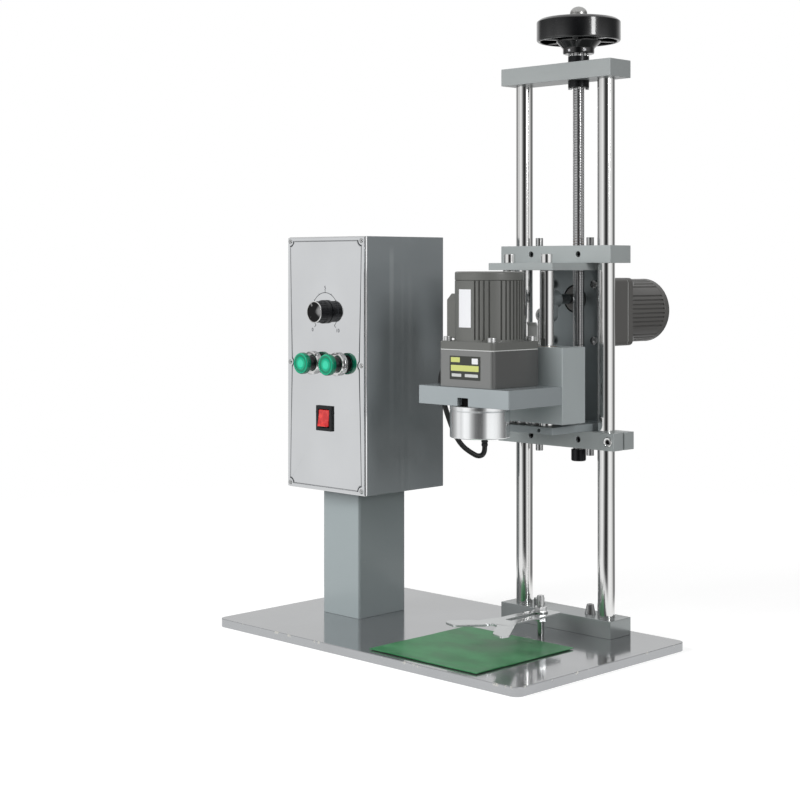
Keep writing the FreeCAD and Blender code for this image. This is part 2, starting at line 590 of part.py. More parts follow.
def make_controls():
    knob_at = ("post_x", BOX_FRONT, "knob_z")
    case = cylinder("pot_case", "pot_r", "pot_long", ("0", "0", "-panel_thick - pot_long"))
    bush = cylinder("pot_bush", "pot_bush_r", "pot_bush_rise + panel_thick",
                    ("0", "0", "-panel_thick"))
    nut = hexagon("pot_nut", "pot_nut_af", "pot_nut_thick")
    bore = cylinder("pot_bore", "pot_shaft_r + turn_clear", "pot_bush_rise + pot_shaft_in + 1",
                    ("0", "0", "-pot_shaft_in - 0.5"))
    pot = put(cut("speed_control", fuse("pot_blank", case, bush, nut), bore), knob_at,
              TO_FRONT)
    keep(pot, "speed_control")
    keep(cylinder("speed_shaft", "pot_shaft_r", "pot_shaft_rise + pot_shaft_in",
                  ("post_x", f"{BOX_FRONT} + pot_shaft_in", "knob_z"), TO_FRONT),
         "speed_shaft")
    turned("speed_knob", [
        ("pot_shaft_r + seat_clear", "pot_bush_rise + part_gap"),
        ("knob_well_r", "pot_bush_rise + part_gap"),
        ("knob_well_r", "knob_gap"), ("knob_r", "knob_gap"), ("knob_r", "knob_skirt"),
        ("knob_tip_r", "knob_skirt + 1"), ("knob_tip_r", "knob_long - 1"),
        ("knob_tip_r - 1", "knob_long"), ("0", "knob_long"),
        ("0", "pot_shaft_rise + part_gap"),
        ("pot_shaft_r + seat_clear", "pot_shaft_rise + part_gap")],
        knob_at, TO_FRONT)

    rings = []
    for side, x in (("start", "-button_x"), ("stop", "button_x")):
        at = (f"post_x + ({x})", BOX_FRONT, "button_z")
        ring = cone(f"{side}_ring", "ring_r", "ring_r - 1", "ring_rise")
        barrel = cylinder(f"{side}_barrel", "barrel_r", "barrel_long",
                          ("0", "0", "-barrel_long"))
        contact = block(f"{side}_contact", ("-contact_side / 2", "contact_side / 2"),
                        ("-contact_side / 2", "contact_side / 2"),
                        ("-barrel_long - contact_long", "-barrel_long"))
        well = cylinder(f"{side}_well", "neck_r + turn_clear",
                        "lens_in + lens_travel + ring_rise + 1",
                        ("0", "0", "-lens_in - lens_travel - 1"))
        rings.append(put(cut(f"{side}_button_body",
                             fuse(f"{side}_button_blank", ring, barrel, contact), well),
                         at, TO_FRONT))
        turned(f"{side}_button", [
            ("0", "-lens_in"), ("neck_r", "-lens_in"), ("neck_r", "lens_back"),
            ("lens_r", "lens_back"), ("lens_r", "lens_rise - lens_dome"),
            ("lens_r * 0.86", "lens_rise - lens_dome * 0.42"),
            ("lens_r * 0.5", "lens_rise - lens_dome * 0.1"), ("0", "lens_rise")], at, TO_FRONT)
    group("button_bodies", rings)

    switch_at = ("post_x", BOX_FRONT, "switch_z")
    bezel = block("switch_bezel", ("-switch_wide / 2", "switch_wide / 2"),
                  ("-switch_tall / 2", "switch_tall / 2"), ("0", "switch_rise"))
    body = block("switch_case",
                 ("switch_frame + seat_clear - switch_wide / 2",
                  "switch_wide / 2 - switch_frame - seat_clear"),
                 ("switch_frame + seat_clear - switch_tall / 2",
                  "switch_tall / 2 - switch_frame - seat_clear"), ("-switch_in", "0"))
    well = block("switch_well", ("rocker_edge - switch_wide / 2", "switch_wide / 2 - rocker_edge"),
                 ("rocker_edge - switch_tall / 2", "switch_tall / 2 - rocker_edge"),
                 ("-switch_in / 2", "switch_rise + 1"))
    pin_reach = "switch_wide / 2 - rocker_edge + rocker_pin_out"
    pin_bore = cylinder("switch_pin_bore", "rocker_pin_r + turn_clear",
                        f"({pin_reach} + turn_clear) * 2",
                        (f"-({pin_reach} + turn_clear)", "0", "rocker_pivot"), ACROSS)
    keep(put(cut("switch_housing", fuse("switch_blank", bezel, body), well, pin_bore),
             switch_at, TO_FRONT), "switch_housing")

    # The rocker turns on an axis along X in the housing's mouth
    rocker = new_body("power_rocker", switch_at, TO_FRONT)
    side = new_sketch(rocker, "rocker_side",
                      "switch_wide / 2 - rocker_edge - rocker_gap", "YZ_Plane")
    polygon(side, [
        ("-rocker_reach * cos(rocker_low + rocker_tilt)",
         "rocker_pivot + rocker_reach * sin(rocker_low + rocker_tilt)"),
        ("-rocker_reach * 0.9", "rocker_pivot - rocker_deep"),
        ("-rocker_deep", "-switch_in / 4"), ("rocker_deep", "-switch_in / 4"),
        ("rocker_reach * 0.9", "rocker_pivot - rocker_deep"),
        ("rocker_reach * cos(rocker_low)", "rocker_pivot + rocker_reach * sin(rocker_low)"),
        ("0", "switch_rise + 0.2")])
    feature = pad(rocker, side, "switch_wide - (rocker_edge + rocker_gap) * 2")
    feature.Reversed = True
    pin = new_sketch(rocker, "rocker_pin", pin_reach, "YZ_Plane")
    circle(pin, ("0", "rocker_pivot"), "rocker_pin_r")
    feature = pad(rocker, pin, f"({pin_reach}) * 2")
    feature.Reversed = True


# Jar positioner: a slotted fork clamped on a stud

def make_positioner():
    at = ("stud_x", "guide_y", "0")
    collar = hexagon("stud_collar", "stud_collar_af", "stud_collar_tall",
                     ("0", "0", "fork_low - part_gap - stud_collar_tall"))
    rod = cylinder("stud_rod", "stud_r", "stud_top")
    keep(put(fuse("positioner_stud", rod, collar), at), "positioner_stud")

    flange = cylinder("nut_flange", "clamp_flange_r", "clamp_flange")
    nut = hexagon("nut_hexagon", "clamp_nut_af", "clamp_nut_tall")
    bore = cylinder("nut_bore", "stud_r + turn_clear", "clamp_nut_tall")
    keep(put(cut("clamp_nut", fuse("nut_blank", flange, nut), bore),
             ("stud_x", "guide_y", "fork_low + fork_thick + part_gap")), "clamp_nut")

    fork = new_body("positioner_fork", ("stud_x", "guide_y", "fork_low"))
    outline = new_sketch(fork, "fork_outline")
    half = "arm_wide / 2"
    left_tip = ("-prong_spread", "-prong_reach")
    points = [
        (f"-({half})", "arm_back"), (f"-({half})", "-slot_front + prong_round"),
        (f"-({half}) - prong_tip / 2", "-throat"), (f"-({half}) - prong_tip", "-throat - 2"),
        ("-prong_spread - 2", "-prong_reach + prong_round * 2"), left_tip,
        ("-prong_spread + prong_tip + 3", "-prong_reach - prong_round"),
        ("-3", "-throat - prong_tip / 2"), ("-1", "-throat"), ("3", "-throat"),
        ("prong_round * 2", "-throat - prong_round + 1"),
        ("prong_spread - prong_tip + 4", "-prong_reach - prong_round - 1"),
        ("prong_spread + prong_round", "-prong_reach - prong_round * 2 - 1"),
        ("prong_spread + prong_round + 3", "-prong_reach"),
        ("prong_spread - prong_tip - 1", "-throat + prong_round"),
        (half, "-slot_front - prong_round + 1"), (half, "arm_back")]
    polygon(outline, points)
    feature = pad(fork, outline, "fork_thick")
    slot_sketch = new_sketch(fork, "fork_slot", "fork_thick")
    rectangle(slot_sketch, ("-slot_wide / 2", "slot_wide / 2"),
              ("-slot_front", "slot_wide / 2"))
    pocket(fork, slot_sketch, "fork_thick")


# Carriage: two bars on the rods, a back plate and two thin plates

def make_carriage():
    low = cross_bar("lower_carriage_bar", "low_bar_z", "low_bar_half")
    high = cross_bar("upper_carriage_bar", "high_bar_z", "bar_half")
    for name, bar in (("low", low), ("high", high)):
        drill(bar, f"{name}_rod_bores", both("rod_half"), "rod_r + slide_clear",
              "bar_thick", "bar_thick")
        drill(bar, f"{name}_bolt_holes", both("bolt_half"), "bar_screw_r + hole_clear",
              "bar_thick", "bar_thick")
        drill(bar, f"{name}_lock_holes", both("lock_hole_half", "bar_thick / 2"),
              "lock_hole_r", BAR_HALF_DEEP, "lock_hole_deep", "XZ_Plane")
        back_holes = drill(bar, f"{name}_back_holes", both("back_screw_half", "bar_thick / 2"),
                           "small_screw_r + seat_clear", f"-({BAR_HALF_DEEP})",
                           "small_screw_long - back_thick + part_gap", "XZ_Plane")
        back_holes.Reversed = True
    drill(low, "low_screw_hole", [(SCREW_SIDE, "0")], "screw_r + screw_hole_clear",
          "bar_thick", "bar_thick")
    drill(high, "nut_bore_hole", [(SCREW_SIDE, "0")], "nut_r + seat_clear", "bar_thick",
          "bar_thick")
    # A saw cut from each rod's bore to the bar's end, closed by a clamp screw
    for name, ends in (("left", ("-low_bar_half - 1", "-rod_half")),
                       ("right", ("rod_half", "low_bar_half + 1"))):
        hollow(low, f"{name}_clamp_slit", ends, ("-slit_wide / 2", "slit_wide / 2"),
               ("-1", "bar_thick + 1"))
    drill(low, "clamp_holes", both("clamp_x", "bar_thick / 2"),
          "small_screw_r + seat_clear", BAR_HALF_DEEP,
          "clamp_sink + small_screw_long + part_gap", "XZ_Plane")
    drill(low, "clamp_sinks", both("clamp_x", "bar_thick / 2"),
          "small_head_r + hole_clear", BAR_HALF_DEEP, "clamp_sink", "XZ_Plane")

    back = new_body("back_plate", ("head_x", BAR_BACK, "0"), TO_FRONT)
    outline = new_sketch(back, "back_outline", "-back_thick")
    rectangle(outline, ("-thin_half", "thin_half"), ("low_bar_z", "high_bar_z + bar_thick"))
    circle(outline, ("0", "axle_z"), "boss_hole_r")
    for spot in four("flange_screw_half", "flange_screw_half"):
        circle(outline, (spot[0], f"axle_z - gear_offset + ({spot[1]})"),
               "small_screw_r + hole_clear")
    for level in ("low_bar_z", "high_bar_z"):
        for x, z in both("back_screw_half", f"{level} + bar_thick / 2"):
            circle(outline, (x, z), "small_screw_r + hole_clear")
    pad(back, outline, "back_thick")

    plate_back = "bar_deep / 2"
    plate_front = "thin_front - rod_y"
    low_plate = slab("bottom_plate", ("head_x", "rod_y", "low_bar_z + bar_thick"),
                     ("-thin_half", "thin_half"), (plate_front, plate_back), "thin_thick")
    high_plate = slab("top_plate", ("head_x", "rod_y", "high_bar_z - thin_thick"),
                      ("-thin_half", "thin_half"), (plate_front, plate_back), "thin_thick")
    guide_line = "guide_y - rod_y"
    drill(low_plate, "guide_seats", both("guide_half", guide_line), "guide_r + seat_clear",
          "thin_thick", "thin_thick")
    drill(low_plate, "guide_lock_holes", both("guide_half", "thin_thick / 2"),
          "thin_thick / 4", "rod_y - thin_front", "guide_y - guide_r - thin_front",
          "XZ_Plane")
    drill(high_plate, "guide_screw_holes", both("guide_half", guide_line),
          "guide_screw_r + hole_clear", "thin_thick", "thin_thick")
    for name, plate in (("low", low_plate), ("high", high_plate)):
        drill(plate, f"{name}_plate_bolt_holes", both("bolt_half"),
              "bar_screw_r + seat_clear", "thin_thick", "thin_thick")
        drill(plate, f"{name}_plate_screw_hole", [(SCREW_SIDE, "0")],
              "screw_r + screw_hole_clear", "thin_thick", "thin_thick")

    rods = []
    screws = []
    for side, sign in (("left", "-"), ("right", "+")):
        x = f"head_x {sign} guide_half"
        rods.append(cylinder(f"{side}_guide_rod", "guide_r",
                             "high_bar_z - thin_thick - low_bar_z - bar_thick",
                             (x, "guide_y", "low_bar_z + bar_thick")))
        screws.append(socket_screw(f"{side}_guide_screw", "guide", "guide_screw_long",
                                   (x, "guide_y", "high_bar_z")))
    for number, rod in enumerate(rods):
        bore = cylinder(f"guide_rod_thread_{number}", "guide_screw_r + seat_clear",
                        "guide_screw_long - thin_thick",
                        ("0", "0", "high_bar_z - low_bar_z - bar_thick - guide_screw_long"))
        rods[number] = tapped_rod(rod, bore, number)
    group("guide_rods", rods)
    group("guide_rod_screws", screws)
    turned("lead_nut", [
        ("screw_r + turn_clear", "0"), ("nut_r", "0"), ("nut_r", "bar_thick"),
        ("screw_r + turn_clear", "bar_thick")], ("screw_x", "rod_y", "high_bar_z"))
    stops = []
    for side, sign in (("left", "-"), ("right", "+")):
        stops.append(cylinder(f"{side}_stop", "stop_r",
                              "block_low - part_gap - low_bar_z - bar_thick - thin_thick",
                              (f"head_x {sign} stop_half", "guide_y",
                               "low_bar_z + bar_thick + thin_thick")))
    group("stop_buttons", stops)
    make_carriage_screws()


def tapped_rod(rod, bore, number):
    """A guide rod with its top end bored for the plate screw."""
    at = (f"head_x {'-+'[number]} guide_half", "guide_y", "low_bar_z + bar_thick")
    put(rod, HERE)
    return put(cut(f"guide_rod_{number}", rod, bore), at)


def make_carriage_screws():
    screws = []
    long = "small_screw_long"
    for side, sign in (("left", "-"), ("right", "+")):
        x = f"head_x {sign} bolt_half"
        screws.append(socket_screw(f"{side}_top_bolt", "bar", long,
                                   (x, "rod_y", "high_bar_z + bar_thick")))
        screws.append(socket_screw(f"{side}_low_bolt", "bar", long,
                                   (x, "rod_y", "low_bar_z"), DOWN))
        for name, level in (("low", "low_bar_z"), ("high", "high_bar_z")):
            screws.append(socket_screw(f"{side}_{name}_back_screw", "small", long,
                                       (f"head_x {sign} back_screw_half",
                                        f"{BAR_BACK} + back_thick",
                                        f"{level} + bar_thick / 2"), TO_BACK))
        screws.append(socket_screw(f"{side}_clamp_screw", "small", long,
                                   (f"head_x {sign} clamp_x", f"{BAR_FRONT} + clamp_sink",
                                    "low_bar_z + bar_thick / 2"), TO_FRONT))
        for name, level in (("low", "-"), ("high", "+")):
            screws.append(socket_screw(f"{side}_{name}_gear_screw", "small", long,
                                       (f"head_x {sign} flange_screw_half", BAR_BACK,
                                        f"axle_z - gear_offset {level} flange_screw_half"),
                                       TO_FRONT))
    group("carriage_screws", screws)


# Gear motors: the output shaft stands off the motor's own axis

def make_gear_motor(name, at, turn, threaded):
    """A square gearhead at Z = 0, with the ribbed motor above it."""
    half = "gear_side / 2"
    head = new_body(f"{name}_gearhead", at, turn)
    outline = new_sketch(head, f"{name}_gear_outline")
    rectangle(outline, (f"-({half})", half), (f"-({half})", half))
    feature = pad(head, outline, "gear_long")
    round_edges(head, feature, "gear_edge")
    boss_sketch = new_sketch(head, f"{name}_gear_boss", "-back_thick")
    circle(boss_sketch, ("0", "-gear_offset"), "gear_boss_r")
    pad(head, boss_sketch, "back_thick")
    drill(head, f"{name}_gear_bore", [("0", "-gear_offset")], "shaft_r + turn_clear",
          "shaft_bore_deep", "shaft_bore_deep + back_thick")
    corners = four("flange_screw_half", "flange_screw_half")
    drill(head, f"{name}_gear_tapped", corners, "flange_screw_r + seat_clear", "gear_long",
          "flange_screw_long - motor_flange + part_gap")
    if threaded:
        drill(head, f"{name}_gear_fixings", corners, "small_screw_r + seat_clear",
              "small_screw_long - back_thick + part_gap",
              "small_screw_long - back_thick + part_gap")

    body = new_body(f"{name}_motor_body", at, turn)
    flange_sketch = new_sketch(body, f"{name}_flange_outline", "gear_long + gear_seam")
    rectangle(flange_sketch, (f"-({half})", half), (f"-({half})", half))
    flange = pad(body, flange_sketch, "motor_flange - gear_seam")
    round_edges(body, flange, "gear_edge")
    seam_sketch = new_sketch(body, f"{name}_seam", "gear_long")
    circle(seam_sketch, ("0", "0"), f"{half} - gear_edge / 2")
    pad(body, seam_sketch, "gear_seam")
    barrel_sketch = new_sketch(body, f"{name}_barrel", "gear_long + motor_flange")
    circle(barrel_sketch, ("0", "0"), "motor_r")
    pad(body, barrel_sketch, "motor_long")
    top = "gear_long + motor_flange + motor_long"
    # Cooling grooves: two sets of four on the right, and one each in front and behind
    grooves = new_sketch(body, f"{name}_grooves", top)
    for number in range(4):
        off = f"(side_rib_first + side_rib_step * {number})"
        deep = f"sqrt(motor_r ^ 2 - {off} ^ 2)"
        for side in ("", "-"):
            rectangle(grooves, (f"{deep} - rib_deep", f"{deep} + rib_foot"),
                      (f"{side}{off} - rib_groove / 2", f"{side}{off} + rib_groove / 2"))
        off = f"(rib_first + rib_step * {number})"
        deep = f"sqrt(motor_r ^ 2 - {off} ^ 2)"
        across = (f"{off} - rib_groove / 2", f"{off} + rib_groove / 2")
        rectangle(grooves, across, (f"{deep} - rib_deep", f"{deep} + rib_foot"))
        rectangle(grooves, across, (f"-({deep}) - rib_foot", f"rib_deep - ({deep})"))
    pocket(body, grooves, "motor_long - rib_foot")
    terminal = new_sketch(body, f"{name}_terminal_box", "-box_broad / 2", "XZ_Plane")
    low = "gear_long + motor_flange + box_inset"
    outer = "box_inset - motor_r - box_reach"
    inner = "box_sunk - motor_r"
    polygon(terminal, [(outer, low), (outer, f"{low} + box_high - box_slope"),
                       (f"{outer} + box_slope", f"{low} + box_high"),
                       (inner, f"{low} + box_high"), (inner, low)])
    pad(body, terminal, "box_broad")
    drill(body, f"{name}_flange_holes", corners, "flange_screw_r + hole_clear",
          "gear_long + motor_flange", "motor_flange")

    cap = "cap_long"
    turned(f"{name}_motor_cap", [
        ("0", "0"), ("motor_r", "0"), ("motor_r", f"{cap} - cap_crown * 0.7"),
        ("motor_r - cap_crown * 0.3", f"{cap} - cap_crown * 0.3"),
        ("motor_r - cap_crown", cap), ("0", cap)], at, turn)
    shift_along(nodes[f"{name}_motor_cap"], at, turn, top)
    screws = []
    for number, (x, y) in enumerate(corners):
        head_disc = cylinder(f"{name}_flange_head_{number}", "flange_screw_head",
                             "flange_screw_rise", (x, y, "gear_long + motor_flange"))
        shank = cylinder(f"{name}_flange_shank_{number}", "flange_screw_r",
                         "flange_screw_long",
                         (x, y, "gear_long + motor_flange - flange_screw_long"))
        key = hexagon(f"{name}_flange_key_{number}", "flange_socket_af", "flange_screw_rise",
                      (x, y, "gear_long + motor_flange + flange_screw_rise / 2"))
        screws.append(put(cut(f"{name}_flange_screw_{number}",
                              fuse(f"{name}_flange_blank_{number}", head_disc, shank), key),
                          at, turn))
    group(f"{name}_motor_screws", screws)


def shift_along(piece, at, turn, far):
    """Move a placed piece along its own Z by an expression."""
    step = turn.multVec(Vector(0, 0, 1))
    moved = [f"{text} + ({far}) * {round(amount)}" for text, amount in zip(at, step)]
    put(piece, moved, turn)


def make_gear_motors():
    make_gear_motor("lift", ("head_x", f"{BAR_BACK} + back_thick", "axle_z - gear_offset"),
                    TO_BACK, True)
    make_gear_motor("drive", ("head_x", "motor_y", "table_low + table_thick"), UP, False)


# Capping head: the block on the guide rods, the motor table and the cup

def make_head():
    body = new_body("head_block", ("head_x", "0", "block_low"))
    outline = new_sketch(body, "block_outline")
    rectangle(outline, ("-block_half", "block_half"), ("block_front", "block_back"))
    feature = pad(body, outline, "block_tall")
    round_edges(body, feature, "block_edge")
    boss = new_sketch(body, "block_boss", "-block_back - block_boss_rise", "XZ_Plane")
    circle(boss, ("0", "pivot_z - block_low"), "block_boss_r")
    pad(body, boss, "block_boss_rise")
    drill(body, "bush_bores", both("guide_half", "guide_y"), "bush_r + seat_clear",
          "block_tall", "block_tall")
    middle = "table_low + table_thick / 2 - block_low"
    through = drill(body, "table_bolt_holes", both("table_bolt_half", middle),
                    "big_screw_r + hole_clear", "-block_back",
                    "block_back - block_front", "XZ_Plane")
    through.Reversed = True
    sinks = drill(body, "table_bolt_sinks", both("table_bolt_half", middle),
                  "big_head_r + hole_clear", "-block_back", "table_bolt_sink", "XZ_Plane")
    sinks.Reversed = True
    bushes = []
    for side, sign in (("left", "-"), ("right", "+")):
        sleeve = cylinder(f"{side}_bush_sleeve", "bush_r", "block_tall")
        bore = cylinder(f"{side}_bush_bore", "guide_r + slide_clear", "block_tall")
        bushes.append(put(cut(f"{side}_bush", sleeve, bore),
                          (f"head_x {sign} guide_half", "guide_y", "block_low")))
    group("head_bushes", bushes)

    table = new_body("motor_table", ("head_x", "0", "table_low"))
    table_sketch = new_sketch(table, "table_outline")
    rectangle(table_sketch, ("-block_half", "block_half"), ("table_front", "block_front"))
    feature = pad(table, table_sketch, "table_thick")
    round_edges(table, feature, "block_edge")
    drill(table, "table_boss_bore", [("0", "motor_y - gear_offset")],
          "gear_boss_r + hole_clear", "table_thick", "table_thick")
    hollow(table, "table_notch", ("-notch_wide / 2", "notch_wide / 2"),
           ("table_front - 1", "table_front + notch_deep"), ("-1", "notch_tall"))
    reach = "table_bolt_long - (block_back - table_bolt_sink - block_front) + part_gap"
    threads = drill(table, "table_threads", both("table_bolt_half", "table_thick / 2"),
                    "big_screw_r + seat_clear", "-block_front", reach, "XZ_Plane")
    threads.Reversed = True
    bolts = []
    for side, sign in (("left", "-"), ("right", "+")):
        bolts.append(socket_screw(f"{side}_table_bolt", "big", "table_bolt_long",
                                  (f"head_x {sign} table_bolt_half",
                                   "block_back - table_bolt_sink",
                                   "table_low + table_thick / 2"), TO_BACK))
    group("table_bolts", bolts)


def make_cup():
    axis = ("head_x", "motor_y - gear_offset")
    top = "table_low - part_gap - cup_low"
    turned("capping_cup", [
        ("shaft_r + seat_clear", "cup_bore_deep"), ("cup_bore_r", "cup_bore_deep"),
        ("cup_bore_r", "0"), ("cup_r - 1", "0"), ("cup_r", "1"),
        ("cup_r", f"{top} - cup_rim - cup_groove"),
        ("cup_r - cup_groove", f"{top} - cup_rim - cup_groove"),
        ("cup_r - cup_groove", f"{top} - cup_rim"), ("cup_r", f"{top} - cup_rim"),
        ("cup_r", top), ("shaft_r + seat_clear", top)], (*axis, "cup_low"))
    turned("cup_liner", [
        ("cup_bore_r - liner_wall", "cup_bore_deep"),
        ("cup_bore_r - liner_wall + liner_taper - 1", "1"),
        ("cup_bore_r - seat_clear", "1"), ("cup_bore_r - seat_clear", "cup_bore_deep")],
        (*axis, "cup_low"))
    keep(cylinder("drive_shaft", "shaft_r",
                  "table_low + table_thick + shaft_bore_deep - 1 - cup_low - cup_bore_deep",
                  (*axis, "cup_low + cup_bore_deep")), "drive_shaft")


# Lift crank: a half turn of the arm raises the head by twice its throw

def make_crank():
    keep(cylinder("lift_shaft", "shaft_r",
                  f"{BAR_BACK} + back_thick + shaft_bore_deep - 1 - arm_front",
                  ("head_x", "arm_front", "axle_z"), TO_BACK), "lift_shaft")
    arm = new_body("crank_arm", ("head_x", "arm_front", "axle_z"), TO_BACK)
    outline = new_sketch(arm, "arm_hub")
    circle(outline, ("0", "0"), "arm_hub_r")
    pad(arm, outline, "arm_hub_back - arm_front")
    web = new_sketch(arm, "arm_web")
    rectangle(web, ("-arm_end_r", "arm_end_r"), ("0", "throw"))
    pad(arm, web, "arm_thick")
    end = new_sketch(arm, "arm_end")
    circle(end, ("0", "throw"), "arm_end_r")
    pad(arm, end, "arm_thick")
    pin = new_sketch(arm, "arm_pin", "link_front - crank_pin_rise - arm_front")
    circle(pin, ("0", "throw"), "pin_r")
    pad(arm, pin, "arm_front - link_front + crank_pin_rise")
    drill(arm, "arm_bore", [("0", "0")], "shaft_r + seat_clear", "arm_hub_back - arm_front",
          "arm_hub_back - arm_front")

    # At rest the crank pin is at its lowest, straight above the block's boss
    link = new_body("connecting_rod", ("head_x", "link_front", "pivot_z"), TO_FRONT)
    reach = "axle_z - throw - pivot_z"
    shank = new_sketch(link, "link_shank", "-link_thick")
    rectangle(shank, ("-link_wide / 2", "link_wide / 2"), ("0", reach))
    pad(link, shank, "link_thick")
    for name, level in (("low", "0"), ("high", reach)):
        eye = new_sketch(link, f"{name}_eye", "-link_thick")
        circle(eye, ("0", level), "link_eye_r")
        pad(link, eye, "link_thick")
    holes = drill(link, "high_eye_bore", [("0", reach)], "pin_r + turn_clear",
                  "-link_thick", "link_thick")
    holes.Reversed = True
    low = drill(link, "low_eye_bore", [("0", "0")], "pin_r + seat_clear", "-link_thick",
                "link_thick")
    low.Reversed = True
    head = cylinder("link_bolt_head", "link_pin_head", "link_pin_rise",
                    ("0", "0", "link_thick"))
    shank = cylinder("link_bolt_shank", "pin_r", "link_thick")
    keep(put(fuse("link_bolt", head, shank), ("head_x", "link_front", "pivot_z"), TO_BACK),
         "link_bolt")


# Motor cable: from the drive motor's terminal box down past the table to its gland

def make_cable():
    turned("cable_gland", [
        ("0", "gland_low"), ("gland_tip_r", "gland_low"),
        ("gland_neck_r", "block_low - gland_nut * 2.4"), ("gland_neck_r", "block_low - gland_nut"),
        ("gland_r", "block_low - gland_nut"), ("gland_r", "block_low"), ("0", "block_low")],
        ("gland_x", "gland_y", "0"))
    box_x = value("head_x - motor_r - box_reach + box_inset + cable_r + part_gap / 2")
    box_z = value("table_low + table_thick + gear_long + motor_flange + box_inset")
    side = value("motor_y")
    edge = value("head_x - block_half")
    gland = Vector(value("gland_x"), value("gland_y"), value("gland_low"))
    stops = [
        Vector(box_x, side, box_z), Vector(box_x - 0.5, side - 0.4, box_z - 13),
        Vector(box_x - 7.8, side - 2.4, box_z - 24), Vector(edge - 2.2, side - 4.8, box_z - 39),
        Vector(edge - 5, side - 3.5, box_z - 58), Vector(edge - 6, side + 5, box_z - 79),
        Vector(edge - 8.5, side + 16, box_z - 97.5), gland + Vector(-19.5, -29, 13),
        gland + Vector(-16, -21, 0.5), gland + Vector(-9.9, -13.8, -6.8),
        gland + Vector(-3.4, -6.2, -12.4), gland + Vector(0.5, 0, -8.2), gland]
    radius = value("cable_r")
    edges = []
    at = stops[0]
    length = 0
    for before, corner, after in zip(stops, stops[1:], stops[2:]):
        way_in = corner - before
        way_out = after - corner
        turn = way_in.getAngle(way_out)
        setback = 0.45 * min(way_in.Length, way_out.Length)
        bend = setback / math.tan(turn / 2)
        into = corner - way_in.normalize() * setback
        out = corner + way_out.normalize() * setback
        middle = corner + (into - corner + out - corner).normalize() * (
            math.hypot(bend, setback) - bend)
        edges.append(Part.LineSegment(at, into).toShape())
        edges.append(Part.Arc(into, middle, out).toShape())
        at = out
        print(f"cable bend radius {bend:.1f} at turn {math.degrees(turn):.0f}")
    edges.append(Part.LineSegment(at, stops[-1]).toShape())
    path = Part.Wire(edges)
    ring = Part.Wire([Part.Circle(stops[0], stops[1] - stops[0], radius).toShape()])
    tube = path.makePipeShell([ring], True, True)
    print(f"cable length {path.Length:.1f}, volume share",
          round(tube.Volume / (math.pi * radius ** 2 * path.Length), 4))
    cable = doc.addObject("Part::Feature", "motor_cable")
    cable.Shape = tube
    cable.Placement = Placement()
    keep(cable, "motor_cable")


make_base()
make_frame()
make_lead_screw()
make_post()
make_box()
make_controls()
make_positioner()
make_carriage()
make_gear_motors()
make_head()
make_cup()
make_crank()
make_cable()
doc.recompute()

for thing in doc.Objects:
    if "Invalid" in thing.State or "Error" in thing.State:
        raise RuntimeError(f"{thing.Name} failed: {thing.State}")
os.makedirs("parts", exist_ok=True)
facets = 0
for label, piece in nodes.items():
    shape = piece.Shape
    if shape.isNull() or not shape.isValid() or not shape.Solids:
        raise RuntimeError(f"{label} has no valid shape")
    facets += len(shape.tessellate(0.2)[1])
    shape.exportStep(f"parts/{label}.step")
print(len(nodes), "nodes,", facets, "facets")
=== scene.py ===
import json
import math
from contextlib import contextmanager

import bmesh
import bpy
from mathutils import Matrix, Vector, noise


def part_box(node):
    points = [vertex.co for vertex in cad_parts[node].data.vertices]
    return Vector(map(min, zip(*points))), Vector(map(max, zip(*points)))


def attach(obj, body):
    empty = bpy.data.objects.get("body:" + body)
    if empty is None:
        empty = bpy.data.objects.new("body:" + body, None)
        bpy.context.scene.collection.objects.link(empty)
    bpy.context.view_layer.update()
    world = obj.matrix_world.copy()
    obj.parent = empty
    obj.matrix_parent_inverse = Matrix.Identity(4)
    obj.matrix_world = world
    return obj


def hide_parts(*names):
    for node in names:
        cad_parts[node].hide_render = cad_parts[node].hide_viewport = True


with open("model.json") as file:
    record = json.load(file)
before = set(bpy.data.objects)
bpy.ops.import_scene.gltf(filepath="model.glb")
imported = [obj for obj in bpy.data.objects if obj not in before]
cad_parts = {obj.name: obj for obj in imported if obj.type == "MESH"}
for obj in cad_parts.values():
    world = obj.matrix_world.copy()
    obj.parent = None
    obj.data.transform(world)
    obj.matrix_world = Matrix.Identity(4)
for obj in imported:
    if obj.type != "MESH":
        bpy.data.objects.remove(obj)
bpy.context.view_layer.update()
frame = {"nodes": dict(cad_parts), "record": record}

MM = 0.001
QUARTER = math.pi / 2
NODES = frame["nodes"]
BODY_OF = {node: body for body, members in frame["record"]["behaviour"]["bodies"].items()
           for node in members}

HEAD_X = 0.0885                     # the middle of the rod frame and of the capping head
SCREW_X, ROD_Y = 0.1095, 0.11       # the lead screw's axis, on the line of the main rods
MOTOR_Y = -0.022                    # the drive motor's axis
CUP_Y = -0.0375                     # the capping cup's axis
KNOB_Z = 0.376
BOX_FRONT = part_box("control_box")[0].y
BOX_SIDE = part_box("control_box")[1].x
PANEL_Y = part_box("front_panel")[0].y
POST_X = (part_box("front_panel")[0].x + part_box("front_panel")[1].x) / 2
BUTTON_Z = (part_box("start_button")[0].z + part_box("start_button")[1].z) / 2
BUTTON_APART = 0.022                # from the post's middle to each button


# ---------------------------------------------------------------- bench tools

def only(piece):
    """Make one piece the only one selected, and the active one."""
    bpy.ops.object.select_all(action="DESELECT")
    piece.select_set(True)
    bpy.context.view_layer.objects.active = piece


@contextmanager
def bench(piece, kind="FACE"):
    """Edit one piece with nothing of it selected."""
    only(piece)
    bpy.ops.object.mode_set(mode="EDIT")
    bpy.ops.mesh.select_mode(type=kind)
    bpy.ops.mesh.select_all(action="DESELECT")
    yield
    bpy.ops.object.mode_set(mode="OBJECT")


